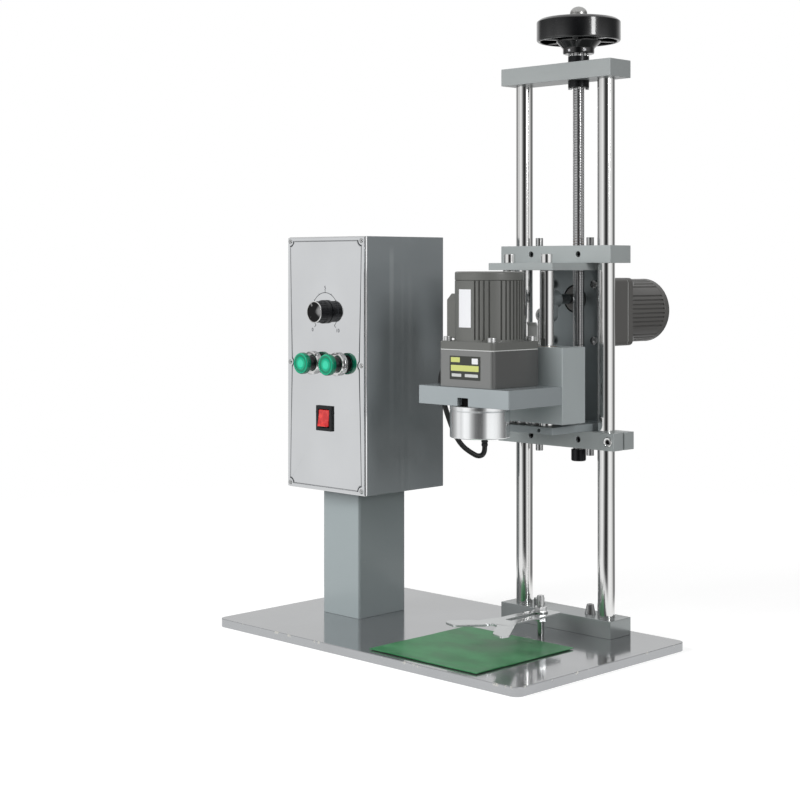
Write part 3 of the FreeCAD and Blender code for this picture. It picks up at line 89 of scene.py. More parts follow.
def choose(test, kind="faces"):
    """Select what passes a test of its middle and itself."""
    mesh = bmesh.from_edit_mesh(bpy.context.edit_object.data)
    mesh.normal_update()
    for item in getattr(mesh, kind):
        if kind == "verts":
            middle = item.co
        elif kind == "edges":
            middle = (item.verts[0].co + item.verts[1].co) / 2
        else:
            middle = item.calc_center_median()
        item.select_set(bool(test(middle, item)))
    mesh.select_flush_mode()
    bmesh.update_edit_mesh(bpy.context.edit_object.data)


def runs_along(edge, axis):
    """Whether an edge runs along X, Y or Z, given as 0, 1 or 2."""
    first, second = edge.verts
    return abs((first.co - second.co).normalized()[axis]) > 0.99


def named(name):
    """The piece that an operator has just added, with its name."""
    piece = bpy.context.active_object
    piece.name = name
    piece.data.name = name
    return piece


def settle(piece):
    """Put a piece's place and turn into its mesh."""
    only(piece)
    bpy.ops.object.transform_apply(location=True, rotation=True, scale=True)
    return piece


def outward(piece):
    """Close a piece's doubles and turn its faces out."""
    with bench(piece):
        bpy.ops.mesh.select_all(action="SELECT")
        bpy.ops.mesh.remove_doubles(threshold=1e-6)
        bpy.ops.mesh.normals_make_consistent(inside=False)
    return piece


def modified(piece, name, kind, **settings):
    """Give a piece a modifier with these settings, and apply it."""
    only(piece)
    modifier = piece.modifiers.new(name, kind)
    for key, setting in settings.items():
        setattr(modifier, key, setting)
    bpy.ops.object.modifier_apply(modifier=modifier.name)
    return piece


def broken_edges(piece, width, segments=2, angle=32):
    """Bevel every edge that is sharper than an angle."""
    return modified(piece, "broken edges", "BEVEL", width=width, segments=segments,
                    limit_method="ANGLE", angle_limit=math.radians(angle),
                    use_clamp_overlap=False, miter_outer="MITER_ARC")


def smooth(piece, angle=34):
    """Shade by angle, with each big face keeping one shade up to its edges."""
    only(piece)
    bpy.ops.object.shade_smooth_by_angle(angle=math.radians(angle))
    return modified(piece, "face weights", "WEIGHTED_NORMAL", keep_sharp=True)


def dressed(piece, body, finish):
    """Give a finished piece its finish and its body."""
    piece.data.materials.clear()
    piece.data.materials.append(FINISH[finish])
    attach(piece, body)
    return piece


def plate(name, low, high):
    """A block between two corners."""
    middle = (Vector(low) + Vector(high)) / 2
    bpy.ops.mesh.primitive_cube_add(size=1, location=middle)
    piece = named(name)
    piece.scale = Vector(high) - Vector(low)
    return settle(piece)


TURNS = {"up": (0, 0, 0), "front": (QUARTER, 0, 0)}


def turned_to(piece, way, at):
    """Turn a piece from upright to face one way, and put it in its place."""
    piece.rotation_euler = TURNS[way]
    piece.location = at
    return settle(piece)


def lathed(name, outline, at, way="up", sides=64):
    """A turned piece, drawn out of a disc through pairs of radius and height."""
    radius, height = outline[0]
    bpy.ops.mesh.primitive_circle_add(vertices=sides, radius=radius, fill_type="NGON",
                                      location=(0, 0, height))
    piece = named(name)
    settle(piece)
    with bench(piece):
        bpy.ops.mesh.select_all(action="SELECT")
        for next_radius, next_height in outline[1:]:
            rise = next_height - height
            bpy.ops.mesh.extrude_region_move(
                TRANSFORM_OT_translate={"value": (0, 0, rise)})
            if abs(next_radius - radius) > 1e-9:
                size = next_radius / radius
                bpy.ops.transform.resize(value=(size, size, 1),
                                         center_override=(0, 0, next_height))
            radius, height = next_radius, next_height
    return outward(turned_to(piece, way, at))


def ribbed(piece, low, high, picked, depth):
    """Push out the strips of a turned wall whose angle passes a test."""
    with bench(piece):
        choose(lambda middle, face: low < middle.z < high and abs(face.normal.z) < 0.3 and
               picked((math.degrees(math.atan2(middle.y, middle.x)) + 360)))
        bpy.ops.mesh.extrude_region_shrink_fatten(TRANSFORM_OT_shrink_fatten={"value": depth})
    return piece


def copied(node, whole):
    """A merged copy of a CAD part's mesh, its flat faces made whole if that is asked."""
    piece = bpy.data.objects.new(f"{node}_finished", NODES[node].data.copy())
    bpy.context.scene.collection.objects.link(piece)
    piece.data.name = piece.name
    only(piece)
    if piece.data.has_custom_normals:
        bpy.ops.mesh.customdata_custom_splitnormals_clear()
    with bench(piece, "VERT"):
        bpy.ops.mesh.select_all(action="SELECT")
        bpy.ops.mesh.remove_doubles(threshold=2e-6)
        if whole:
            bpy.ops.mesh.dissolve_limited(angle_limit=math.radians(0.4),
                                          use_dissolve_boundaries=False)
        bpy.ops.mesh.select_all(action="DESELECT")
    return piece


def refined(node, finish, width, segments=2, angle=32, shape=None, whole=True):
    """A CAD part with its edges broken as the real one's are, which stands for it."""
    piece = copied(node, whole)
    if shape:
        shape(piece)
    broken_edges(piece, width, segments, angle)
    smooth(piece)
    dressed(piece, BODY_OF[node], finish)
    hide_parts(node)
    return piece


def drawn_line(name, kind, points, thick, resolution, closed=False):
    """A round line through points of X, Y and Z, as a curve."""
    curve = bpy.data.curves.new(name, "CURVE")
    curve.dimensions = "3D"
    line = curve.splines.new(kind)
    line.points.add(len(points) - 1)
    for point, spot in zip(line.points, points):
        point.co = (*spot, 1)
    line.use_cyclic_u = closed
    curve.bevel_depth = thick / 2
    curve.bevel_resolution = resolution
    curve.use_fill_caps = not closed
    drawn = bpy.data.objects.new(name, curve)
    bpy.context.scene.collection.objects.link(drawn)
    return drawn


def as_mesh(drawn):
    """A line or a word made a mesh of the same name."""
    only(drawn)
    bpy.ops.object.convert(target="MESH")
    return named(drawn.name)


def joined(name, pieces):
    """Several pieces made one."""
    bpy.ops.object.select_all(action="DESELECT")
    for piece in pieces:
        piece.select_set(True)
    bpy.context.view_layer.objects.active = pieces[0]
    bpy.ops.object.join()
    return named(name)


# ------------------------------------------------------------- shader effects

class Bench:
    """Adds and joins the nodes of one tree."""

    def __init__(self, tree):
        self.tree = tree

    def add(self, kind, **settings):
        node = self.tree.nodes.new(kind)
        for key, setting in settings.items():
            setattr(node, key, setting)
        return node

    def set(self, socket, source):
        if isinstance(source, bpy.types.NodeSocket):
            self.tree.links.new(source, socket)
        else:
            socket.default_value = source

    def fed(self, kind, *sources, **settings):
        """What comes out of a new node whose inputs are these, in order."""
        node = self.add(kind, **settings)
        for socket, source in zip(node.inputs, sources):
            self.set(socket, source)
        return node.outputs[0]

    def math(self, operation, *terms):
        return self.fed("ShaderNodeMath", *terms, operation=operation)

    def times(self, *terms):
        return self.math("MULTIPLY", *terms)

    def plus(self, *terms):
        return self.math("ADD", *terms)

    def minus(self, *terms):
        return self.math("SUBTRACT", *terms)

    def reach(self, across, along):
        """How far a spot is from an axis, by its two distances."""
        return self.math("SQRT", self.plus(self.times(across, across),
                                           self.times(along, along)))

    def grey(self, level):
        node = self.add("ShaderNodeCombineColor")
        for socket in node.inputs:
            self.set(socket, level)
        return node.outputs["Color"]

    def split(self, vector):
        node = self.add("ShaderNodeSeparateXYZ")
        self.set(node.inputs[0], vector)
        return node.outputs

    def mix(self, factor, first, second, blend="MIX"):
        node = self.add("ShaderNodeMix", data_type="RGBA", blend_type=blend)
        for key, source in (("Factor_Float", factor), ("A_Color", first), ("B_Color", second)):
            self.set([s for s in node.inputs if s.identifier == key][0], source)
        return [s for s in node.outputs if s.identifier == "Result_Color"][0]

    def place(self, scale=(1, 1, 1), location=(0, 0, 0), rotation=(0, 0, 0)):
        coordinates = self.add("ShaderNodeTexCoord")
        mapping = self.add("ShaderNodeMapping")
        self.tree.links.new(coordinates.outputs["Object"], mapping.inputs["Vector"])
        self.set(mapping.inputs["Scale"], scale)
        mapping.inputs["Location"].default_value = location
        mapping.inputs["Rotation"].default_value = rotation
        return mapping.outputs["Vector"]

    def noise(self, vector, scale, detail=3.0, rough=0.5):
        node = self.add("ShaderNodeTexNoise")
        self.tree.links.new(vector, node.inputs["Vector"])
        self.set(node.inputs["Scale"], scale)
        node.inputs["Detail"].default_value = detail
        node.inputs["Roughness"].default_value = rough
        return node.outputs["Fac"]

    def band(self, source, low, high, to_low=0.0, to_high=1.0):
        """A soft step from one number to another, as the source goes from low to high."""
        node = self.add("ShaderNodeMapRange", interpolation_type="SMOOTHSTEP")
        self.set(node.inputs["Value"], source)
        for key, number in (("From Min", low), ("From Max", high), ("To Min", to_low),
                            ("To Max", to_high)):
            self.set(node.inputs[key], number)
        return node.outputs["Result"]


def effect(name, inputs, outputs, wire):
    """A shared shader group with named inputs and outputs."""
    tree = bpy.data.node_groups.new(name, "ShaderNodeTree")
    for label, kind, default in inputs:
        socket = tree.interface.new_socket(label, in_out="INPUT", socket_type=kind)
        socket.default_value = default
    for label, kind in outputs:
        tree.interface.new_socket(label, in_out="OUTPUT", socket_type=kind)
    b = Bench(tree)
    entry = b.add("NodeGroupInput")
    leave = b.add("NodeGroupOutput")
    for label, source in wire(b, entry.outputs).items():
        tree.links.new(source, leave.inputs[label])
    return tree


FLOAT, COLOUR, VECTOR = "NodeSocketFloat", "NodeSocketColor", "NodeSocketVector"


def wire_paint(b, given):
    """Sprayed enamel: a fine orange peel over soft, slow shade changes."""
    slow = b.noise(b.place(), 9.0, 2.0)
    fine = b.noise(b.place(), 900.0, 2.0, 0.6)
    shade = b.times(b.minus(slow, 0.5), given["Mottle"])
    level = b.plus(1.0, shade)
    colour = b.mix(1.0, given["Colour"], b.grey(level), "MULTIPLY")
    rough = b.plus(given["Roughness"], b.times(shade, 0.6))
    height = b.times(fine, given["Peel"])
    return {"Colour": colour, "Roughness": rough, "Height": height}


paint_effect = effect(
    "sprayed paint",
    [("Colour", COLOUR, (0.5, 0.5, 0.5, 1)), ("Roughness", FLOAT, 0.4),
     ("Mottle", FLOAT, 0.12), ("Peel", FLOAT, 0.5)],
    [("Colour", COLOUR), ("Roughness", FLOAT), ("Height", FLOAT)], wire_paint)


def wire_brushing(b, given):
    """Long fine scratches, as a belt or brush leaves them along one axis."""
    lines = b.noise(b.place(scale=given["Along"]), 1.0, 3.0, 0.65)
    slow = b.noise(b.place(), 14.0, 2.0)
    shade = b.times(b.minus(lines, 0.5), given["Contrast"])
    drift = b.times(b.minus(slow, 0.5), 0.16)
    level = b.plus(b.plus(1.0, shade), drift)
    colour = b.mix(1.0, given["Colour"], b.grey(level), "MULTIPLY")
    rough = b.plus(given["Roughness"], b.times(shade, 0.35))
    return {"Colour": colour, "Roughness": rough, "Height": lines}


brush_effect = effect(
    "brushed metal",
    [("Colour", COLOUR, (0.5, 0.5, 0.5, 1)), ("Roughness", FLOAT, 0.3),
     ("Contrast", FLOAT, 0.2), ("Along", VECTOR, (2000, 30, 2000))],
    [("Colour", COLOUR), ("Roughness", FLOAT), ("Height", FLOAT)], wire_brushing)


def wire_handling(b, given):
    """Smears and hair scratches that handling leaves on a smooth finish."""
    smears = b.band(b.noise(b.place(), given["Smear scale"], 4.0, 0.6), 0.48, 0.72)
    hair = b.noise(b.place(scale=(500, 90, 160), rotation=(0.4, 0.7, 0.3)), 1.0, 2.0, 0.7)
    scratches = b.band(hair, 0.69, 0.76)
    return {"Smears": smears, "Scratches": scratches}


handling_effect = effect(
    "handling marks", [("Smear scale", FLOAT, 22.0)],
    [("Smears", FLOAT), ("Scratches", FLOAT)], wire_handling)


def wire_turning(b, given):
    """Fine rings round an upright axis, from a lathe tool."""
    parts = b.split(b.place())
    centre = b.split(given["Axis"])
    across = b.minus(parts["X"], centre["X"])
    deep = b.minus(parts["Y"], centre["Y"])
    radius = b.reach(across, deep)
    spot = b.add("ShaderNodeCombineXYZ")
    b.set(spot.inputs["X"], b.times(radius, given["Pitch"]))
    b.set(spot.inputs["Z"], b.times(parts["Z"], given["Pitch"]))
    rings = b.noise(spot.outputs[0], 1.0, 2.0, 0.6)
    return {"Rings": rings}


turning_effect = effect(
    "turned rings", [("Axis", VECTOR, (0, 0, 0)), ("Pitch", FLOAT, 1400.0)],
    [("Rings", FLOAT)], wire_turning)


class Finish(Bench):
    """One material: its Principled shader and what feeds it."""

    def __init__(self, name, **plain):
        self.material = bpy.data.materials.new(name)
        self.material.use_nodes = True
        super().__init__(self.material.node_tree)
        self.shader = [n for n in self.tree.nodes if n.type == "BSDF_PRINCIPLED"][0]
        for key, number in plain.items():
            self.shader.inputs[key.replace("_", " ")].default_value = number

    def effect(self, tree, **given):
        node = self.add("ShaderNodeGroup", node_tree=tree)
        for key, source in given.items():
            self.set(node.inputs[key.replace("_", " ")], source)
        return node.outputs

    def feed(self, **sources):
        for key, source in sources.items():
            self.set(self.shader.inputs[key.replace("_", " ")], source)

    def bump(self, height, distance, strength=1.0):
        node = self.add("ShaderNodeBump")
        node.inputs["Strength"].default_value = strength
        node.inputs["Distance"].default_value = distance
        self.set(node.inputs["Height"], height)
        self.set(self.shader.inputs["Normal"], node.outputs["Normal"])
        return node


def rgb(red, green, blue):
    """A colour as it looks on screen, from 0 to 255, for a shader."""
    def linear(level):
        level /= 255
        return level / 12.92 if level <= 0.04045 else ((level + 0.055) / 1.055) ** 2.4
    return (linear(red), linear(green), linear(blue), 1)


# ------------------------------------------------------------------- finishes

def painted(name, colour, roughness, mottle, peel, coat, wear, side):
    """Enamel on metal, with handling marks, and painted shade darkening its right side."""
    finish = Finish(name, Coat_Weight=coat, Coat_Roughness=0.12)
    paint = finish.effect(paint_effect, Colour=colour, Roughness=roughness, Mottle=mottle,
                          Peel=peel)
    marks = finish.effect(handling_effect)
    rough = finish.plus(paint["Roughness"], finish.times(marks["Smears"], 0.07))
    shade = finish.mix(finish.times(marks["Scratches"], wear), paint["Colour"],
                       rgb(214, 216, 216))
    # Painted shade: near the right face the colour is multiplied darker, standing for the lesser
    # light that side gets.
    if side:
        face, dull = side
        where = finish.split(finish.place())
        near = finish.band(where["X"], face - 0.003, face - 0.001)
        shade = finish.mix(near, shade, finish.mix(1.0, shade, finish.grey(dull), "MULTIPLY"))
    finish.feed(Base_Color=shade, Roughness=rough)
    finish.bump(paint["Height"], 0.00002, 0.5)
    return finish.material


def brushed(name, colour, along, roughness, contrast, metallic, depth, handled):
    """Metal with fine scratches along one axis, dulled by handling."""
    finish = Finish(name, Metallic=metallic)
    lines = finish.effect(brush_effect, Colour=colour, Roughness=roughness,
                          Contrast=contrast, Along=along)
    marks = finish.effect(handling_effect)
    rough = finish.plus(lines["Roughness"], finish.times(marks["Smears"], handled))
    finish.feed(Base_Color=lines["Colour"], Roughness=rough)
    finish.bump(lines["Height"], 0.00001, depth)
    return finish.material


def plated(name, colour, roughness, pitch, axis, depth, metallic, handled):
    """Turned and plated metal, with faint tool rings."""
    finish = Finish(name, Metallic=metallic)
    rings = finish.effect(turning_effect, Axis=axis, Pitch=pitch)["Rings"]
    marks = finish.effect(handling_effect)
    wear = finish.plus(finish.times(rings, handled), finish.times(marks["Smears"], handled))
    shade = finish.mix(finish.times(rings, 0.12), colour, rgb(120, 120, 122))
    finish.feed(Base_Color=shade, Roughness=finish.plus(roughness, wear))
    finish.bump(rings, 0.00001, depth)
    return finish.material


def moulded(name, colour, roughness, grain, depth, **plain):
    """Moulded plastic or rubber, with a fine grain."""
    finish = Finish(name, **plain)
    fine = finish.noise(finish.place(), grain, 3.0, 0.6)
    marks = finish.effect(handling_effect)
    shade = finish.mix(finish.times(marks["Smears"], 0.16), colour,
                       tuple(min(1, part * 1.9 + 0.01) for part in colour[:3]) + (1,))
    rough = finish.plus(roughness, finish.times(marks["Smears"], 0.08))
    finish.feed(Base_Color=shade, Roughness=rough)
    finish.bump(fine, 0.00003, depth)
    return finish.material


def base_finish():
    """Ground and lacquered plate, with small chips along its front and right edges."""
    base = Finish("ground base plate", Metallic=0.8, Coat_Weight=0.4, Coat_Roughness=0.03)
    lines = base.effect(brush_effect, Colour=rgb(178, 180, 182), Roughness=0.12,
                        Contrast=0.04, Along=(30, 1400, 1400))
    marks = base.effect(handling_effect, Smear_scale=12.0)
    where = base.split(base.place())
    near_top = base.band(where["Z"], 0.0062, 0.0095)
    near_front = base.band(where["Y"], -0.1425, -0.1447)
    near_right = base.band(where["X"], 0.2325, 0.2347)
    rim = base.times(near_top, base.math("MAXIMUM", near_front, near_right))
    rough_patch = base.noise(base.place(scale=(1, 1, 0.6)), 85.0, 4.0, 0.7)
    chips = base.times(base.band(rough_patch, 0.6, 0.63), rim)
    wear = base.plus(base.times(marks["Smears"], 0.05), base.times(chips, 0.4))
    base.feed(Base_Color=base.mix(chips, lines["Colour"], rgb(222, 221, 214)),
              Roughness=base.plus(lines["Roughness"], wear))
    base.bump(base.minus(base.times(lines["Height"], 0.006), chips), 0.0003, 0.4)
    return base.material


def box_finish():
    """Box enamel, with a painted highlight along the front edge, a painted streak of light down
    the right side, and painted light making it lighter towards the top.
    """
    box = Finish("box enamel", Coat_Weight=0.5, Coat_Roughness=0.06)
    paint = box.effect(paint_effect, Colour=rgb(137, 143, 146), Roughness=0.3, Mottle=0.12,
                       Peel=0.4)
    where = box.split(box.place())
    # Painted highlight: a bright, metallic strip along the rounded front edge.
    rim = box.band(where["Y"], BOX_FRONT + 0.0034, BOX_FRONT + 0.0024)
    # Painted light: a faint light streak down the right side, and a lighter top part.
    on_side = box.band(where["X"], BOX_SIDE - 0.001, BOX_SIDE)
    across = box.times(box.band(where["Y"], -0.0190, -0.0150),
                       box.band(where["Y"], -0.0085, -0.0125))
    down = box.times(box.band(where["Z"], 0.17, 0.4), box.band(where["Z"], 0.458, 0.44))
    painted_streak = box.times(box.times(box.times(on_side, across), 0.3), down)
    enamel = box.mix(painted_streak, paint["Colour"], rgb(190, 194, 196))
    painted_upper_light = box.band(where["Z"], 0.36, 0.47, 0.0, 0.2)
    enamel = box.mix(painted_upper_light, enamel, rgb(150, 156, 158))
    box.feed(Base_Color=box.mix(rim, enamel, rgb(244, 245, 246)), Metallic=rim,
             Roughness=box.minus(paint["Roughness"], box.times(rim, 0.16)))
    box.bump(paint["Height"], 0.00002, 0.5)
    return box.material


def board_finish():
    """Circuit board: dark green lacquer with faint tracks."""
    board = Finish("board lacquer", Coat_Weight=0.4)
    tracks = board.band(board.noise(board.place(scale=(900, 900, 40)), 1.0, 1.0), 0.5, 0.56)
    board.feed(Base_Color=board.mix(tracks, rgb(20, 74, 48), rgb(34, 104, 66)),
               Roughness=board.minus(0.42, board.times(tracks, 0.1)))
    return board.material


def mat_finish():
    """Green rubber sheet: broad sheen bands, darker specks and a dusty bloom."""
    mat = Finish("green rubber sheet", Coat_Weight=0.08, Coat_Roughness=0.12,
                 Specular_IOR_Level=0.3)
    broad = mat.noise(mat.place(scale=(1, 1.6, 1), rotation=(0, 0, 0.7)), 19.0, 3.0, 0.55)
    specks = mat.band(mat.noise(mat.place(), 420.0, 4.0, 0.7), 0.6, 0.72)
    bloom = mat.band(broad, 0.4, 0.66)
    colour = mat.mix(bloom, rgb(38, 116, 66), rgb(82, 148, 102))
    colour = mat.mix(mat.times(specks, 0.35), colour, rgb(24, 86, 46))
    mat.feed(Base_Color=colour, Roughness=mat.plus(0.4, mat.times(bloom, 0.14)))
    mat.bump(mat.plus(mat.times(specks, 0.2), broad), 0.0005, 0.3)
    return mat.material


def lens_finish():
    """Green moulded buttons: a painted highlight on the light core, painted shade in the groove
    round it, and a darker rim.
    """
    lens = Finish("green button lens", Coat_Weight=0.35, Coat_Roughness=0.05,
                  Specular_IOR_Level=0.35)
    where = lens.split(lens.place())
    grain = lens.noise(lens.place(), 260.0, 2.0)
    tip = lens.band(where["Y"], -0.0740, -0.0779)
    across = lens.minus(lens.math("ABSOLUTE", lens.minus(where["X"], POST_X)), BUTTON_APART)
    radius = lens.reach(across, lens.minus(where["Z"], BUTTON_Z))
    # Painted highlight on the core, and painted shade in the groove round it.
    core = lens.band(radius, 0.0062, 0.0036)
    groove = lens.times(lens.band(radius, 0.0068, 0.0086), lens.band(radius, 0.0112, 0.0098))
    rim = lens.band(radius, 0.0116, 0.0124)
    face = lens.mix(core, rgb(0, 176, 134), rgb(50, 214, 172))
    face = lens.mix(rim, face, rgb(0, 140, 104))
    face = lens.mix(groove, face, rgb(0, 132, 98))
    lens.feed(Base_Color=lens.mix(tip, rgb(0, 122, 92), face),
              Roughness=lens.plus(0.12, lens.times(grain, 0.08)))
    return lens.material


def rocker_finish():
    """Red switch plastic, lighter in soft random patches."""
    red = Finish("red switch plastic", Coat_Weight=0.6, Coat_Roughness=0.08)
    cloud = red.noise(red.place(), 150.0, 2.0)
    red.feed(Base_Color=red.mix(red.band(cloud, 0.4, 0.64), rgb(196, 20, 26), rgb(234, 62, 56)),
             Roughness=red.plus(0.16, red.times(cloud, 0.1)))
    red.bump(cloud, 0.0002, 0.2)
    return red.material


def spun_finish():
    """The knob's spun cap: circular brushing, with a soft painted highlight spreading from the
    centre and a short painted glint near the rim.
    """
    spun = Finish("spun knob cap", Metallic=0.9)
    parts = spun.split(spun.place(location=(-POST_X, 0, -KNOB_Z)))
    radius = spun.reach(parts["X"], parts["Z"])
    turn = spun.math("ARCTAN2", parts["Z"], parts["X"])
    # Painted highlight and glint, added to the cap's colour.
    painted_fan_highlight = spun.times(spun.band(radius, 0.0004, 0.0085), spun.band(
        spun.math("COSINE", spun.minus(turn, 0.12)), 0.7, 1.0))
    painted_glint = spun.times(spun.band(radius, 0.0072, 0.0082), spun.band(
        spun.math("COSINE", spun.minus(turn, 2.06)), 0.985, 1.0))
    rings = spun.math("SINE", spun.times(radius, 14000.0))
    level = spun.plus(0.02, spun.plus(spun.times(painted_fan_highlight, 0.4), spun.times(painted_glint, 0.3)))
    spun.feed(Base_Color=spun.grey(level), Roughness=spun.plus(0.34, spun.times(rings, 0.06)))
    spun.bump(rings, 0.00001, 0.3)
    return spun.material


SCREW_AXIS = (SCREW_X, ROD_Y, 0)
CUP_AXIS = (HEAD_X, CUP_Y, 0)

# Enamels: name, colour, roughness, mottle, peel, coat, wear, and a painted shade on the right
# side
ENAMELS = {
    "post": ("post enamel", (162, 172, 174), 0.3, 0.08, 0.4, 0.2, 0.1,
             (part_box("box_post")[1].x, 0.66)),
    "motor": ("motor enamel", (106, 107, 104), 0.36, 0.1, 0.6, 0.1, 0.1, None),
    "gearhead": ("gearhead enamel", (122, 123, 122), 0.3, 0.08, 0.5, 0.5, 0.1,
                 (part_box("drive_gearhead")[1].x, 0.48)),
    "rear_motor": ("rear motor enamel", (96, 95, 93), 0.38, 0.1, 0.7, 0.0, 0.0, None),
}

# Brushed metals: name, colour, scratch scale along X, Y and Z, roughness, contrast,
# metallic, depth of the scratches, and how much handling dulls them
BRUSHED = {
    # The top bar has the bars' satin painted darker, as painted shade for how the light falls on
    # it.
    "top": ("satin top bar", (167, 172, 172), (25, 1500, 1500), 0.3, 0.06, 0.2, 0.4, 0.05),
    "bars": ("satin bars", (174, 180, 180), (25, 1500, 1500), 0.3, 0.06, 0.2, 0.4, 0.05),
    "foot": ("satin foot bar", (158, 163, 163), (25, 1500, 1500), 0.2, 0.08, 0.55, 0.4, 0.05),
    "plates": ("satin carriage plates", (158, 166, 168), (1500, 1500, 25), 0.36, 0.06, 0.25,
               0.4, 0.05),
    "head": ("satin head block", (180, 188, 189), (1200, 1200, 30), 0.36, 0.05, 0.2, 0.4, 0.05),
    "table": ("satin motor table", (172, 180, 183), (30, 1200, 1200), 0.2, 0.05, 0.4, 0.4, 0.05),
    "back": ("dark back plate", (134, 141, 143), (1500, 1500, 25), 0.3, 0.06, 0.4, 0.4, 0.015),
    "panel": ("polished front panel", (226, 228, 230), (60, 1500, 1500), 0.04, 0.02, 1.0, 0.02,
              0.03),
    "sheet": ("sheet steel", (210, 213, 213), (30, 1500, 1500), 0.2, 0.14, 0.8, 0.4, 0.05),
}

# Turned metals: name, colour, roughness, pitch of the rings, their axis, depth, metallic,
# and how much rings and handling dull them
TURNED = {
    "chrome": ("chromed rods", (238, 238, 237), 0.09, 900.0, (0, 0, 0), 0.0, 1.0, 0.012),
    "dome": ("dull dome nut", (184, 184, 182), 0.3, 1500.0, SCREW_AXIS, 0.2, 0.8, 0.05),
    "cup": ("satin cup", (252, 254, 255), 0.08, 1800.0, CUP_AXIS, 0.05, 0.86, 0.05),
    "zinc": ("zinc screws", (232, 233, 233), 0.22, 1200.0, (0, 0, 0), 0.1, 0.8, 0.05),
    "steel": ("bright steel", (196, 197, 197), 0.16, 1200.0, (0, 0, 0), 0.3, 1.0, 0.05),
    "screw": ("screw thread steel", (196, 196, 197), 0.17, 1500.0, SCREW_AXIS, 0.15, 1.0, 0.05),
    "bronze": ("bush bronze", (166, 128, 72), 0.28, 1500.0, (0, 0, 0), 0.2, 1.0, 0.05),
}

# Mouldings, inks, papers and painted shades: name, colour, roughness, scale of the grain and its
# depth
MOULDED = {
    "blackened": ("blackened steel", (34, 35, 37), 0.3, 900.0, 0.2),
    "black": ("black phenolic", (10, 11, 13), 0.2, 400.0, 0.03),
    "knob": ("knob plastic", (20, 21, 24), 0.3, 700.0, 0.15),
    "matt": ("matt black", (24, 25, 27), 0.55, 900.0, 0.5),
    "cable": ("cable sheath", (16, 17, 18), 0.45, 900.0, 0.3),
    "rubber": ("liner rubber", (60, 60, 60), 0.65, 600.0, 0.5),
    "ink": ("dial ink", (38, 41, 46), 0.6, 900.0, 0.05),
    # The shadow and pit finishes are painted shade, put where only shade falls.
    "shadow": ("frame line", (40, 43, 47), 0.5, 900.0, 0.05),
    "pit": ("dark recess", (8, 8, 9), 0.7, 900.0, 0.2),
    "label": ("blank sticker", (240, 241, 244), 0.5, 500.0, 0.1),
    "lime": ("plate field lime", (208, 214, 130), 0.45, 500.0, 0.05),
    "pale": ("plate field pale", (206, 208, 206), 0.45, 500.0, 0.05),
    "plate_black": ("plate ground", (58, 60, 56), 0.4, 500.0, 0.05),
}
MOULDED_MORE = {
    "blackened": {"Metallic": 0.6},
    "black": {"Coat_Weight": 0.8, "Coat_Roughness": 0.04},
    "pit": {"Specular_IOR_Level": 0.2},
}


def make_finishes():
    """Every finish of the machine, by name."""
    made = {"base": base_finish(), "box": box_finish(), "board": board_finish(),
            "mat": mat_finish(), "lens": lens_finish(), "red": rocker_finish(),
            "spun": spun_finish()}
    for table, make in ((ENAMELS, painted), (BRUSHED, brushed), (TURNED, plated)):
        for key, (name, colour, *numbers) in table.items():
            made[key] = make(name, rgb(*colour), *numbers)
    for key, (name, colour, *numbers) in MOULDED.items():
        made[key] = moulded(name, rgb(*colour), *numbers, **MOULDED_MORE.get(key, {}))
    return made


FINISH = make_finishes()


# --------------------------------------------------------- camera and cable

def set_camera():
    """The photograph's own view: level, with the lens shifted down."""
    lens = bpy.data.cameras.new("view")
    lens.lens = 74.2
    lens.sensor_width = 36
    lens.shift_y = -0.1665
    lens.clip_end = 50
    camera = bpy.data.objects.new("view", lens)
    camera.location = (1.3062, -1.3935, 0.4296)
    camera.rotation_euler = (QUARTER, 0, math.radians(44.7))
    bpy.context.scene.collection.objects.link(camera)
    bpy.context.scene.camera = camera


def lay_cable():
    """The motor's cable, from its terminal box down to the gland under the head."""
    stops = [(39.85, -22, 349.6), (39.35, -22.4, 336.6), (32.05, -24.4, 325.6),
             (19.8, -26.8, 310.6), (17, -25.5, 291.6), (16, -17, 270.6), (13.5, -6, 252.1),
             (13, 4, 235), (16.5, 12, 222.5), (22.6, 19.2, 215.2), (29.1, 26.8, 209.6),
             (33, 33, 213.8), (32.5, 33, 222)]
    cable = drawn_line("motor_cable_line", "NURBS",
                       [[part * MM for part in stop] for stop in stops], 6 * MM, 5)
    cable.data.resolution_u = 8
    cable.data.splines[0].order_u = 3
    cable.data.splines[0].use_endpoint_u = True
    cable.data.materials.append(FINISH["cable"])
    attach(cable, BODY_OF["motor_cable"])
    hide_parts("motor_cable")


set_camera()
lay_cable()


# -------------------------------------------------------------- base and bars

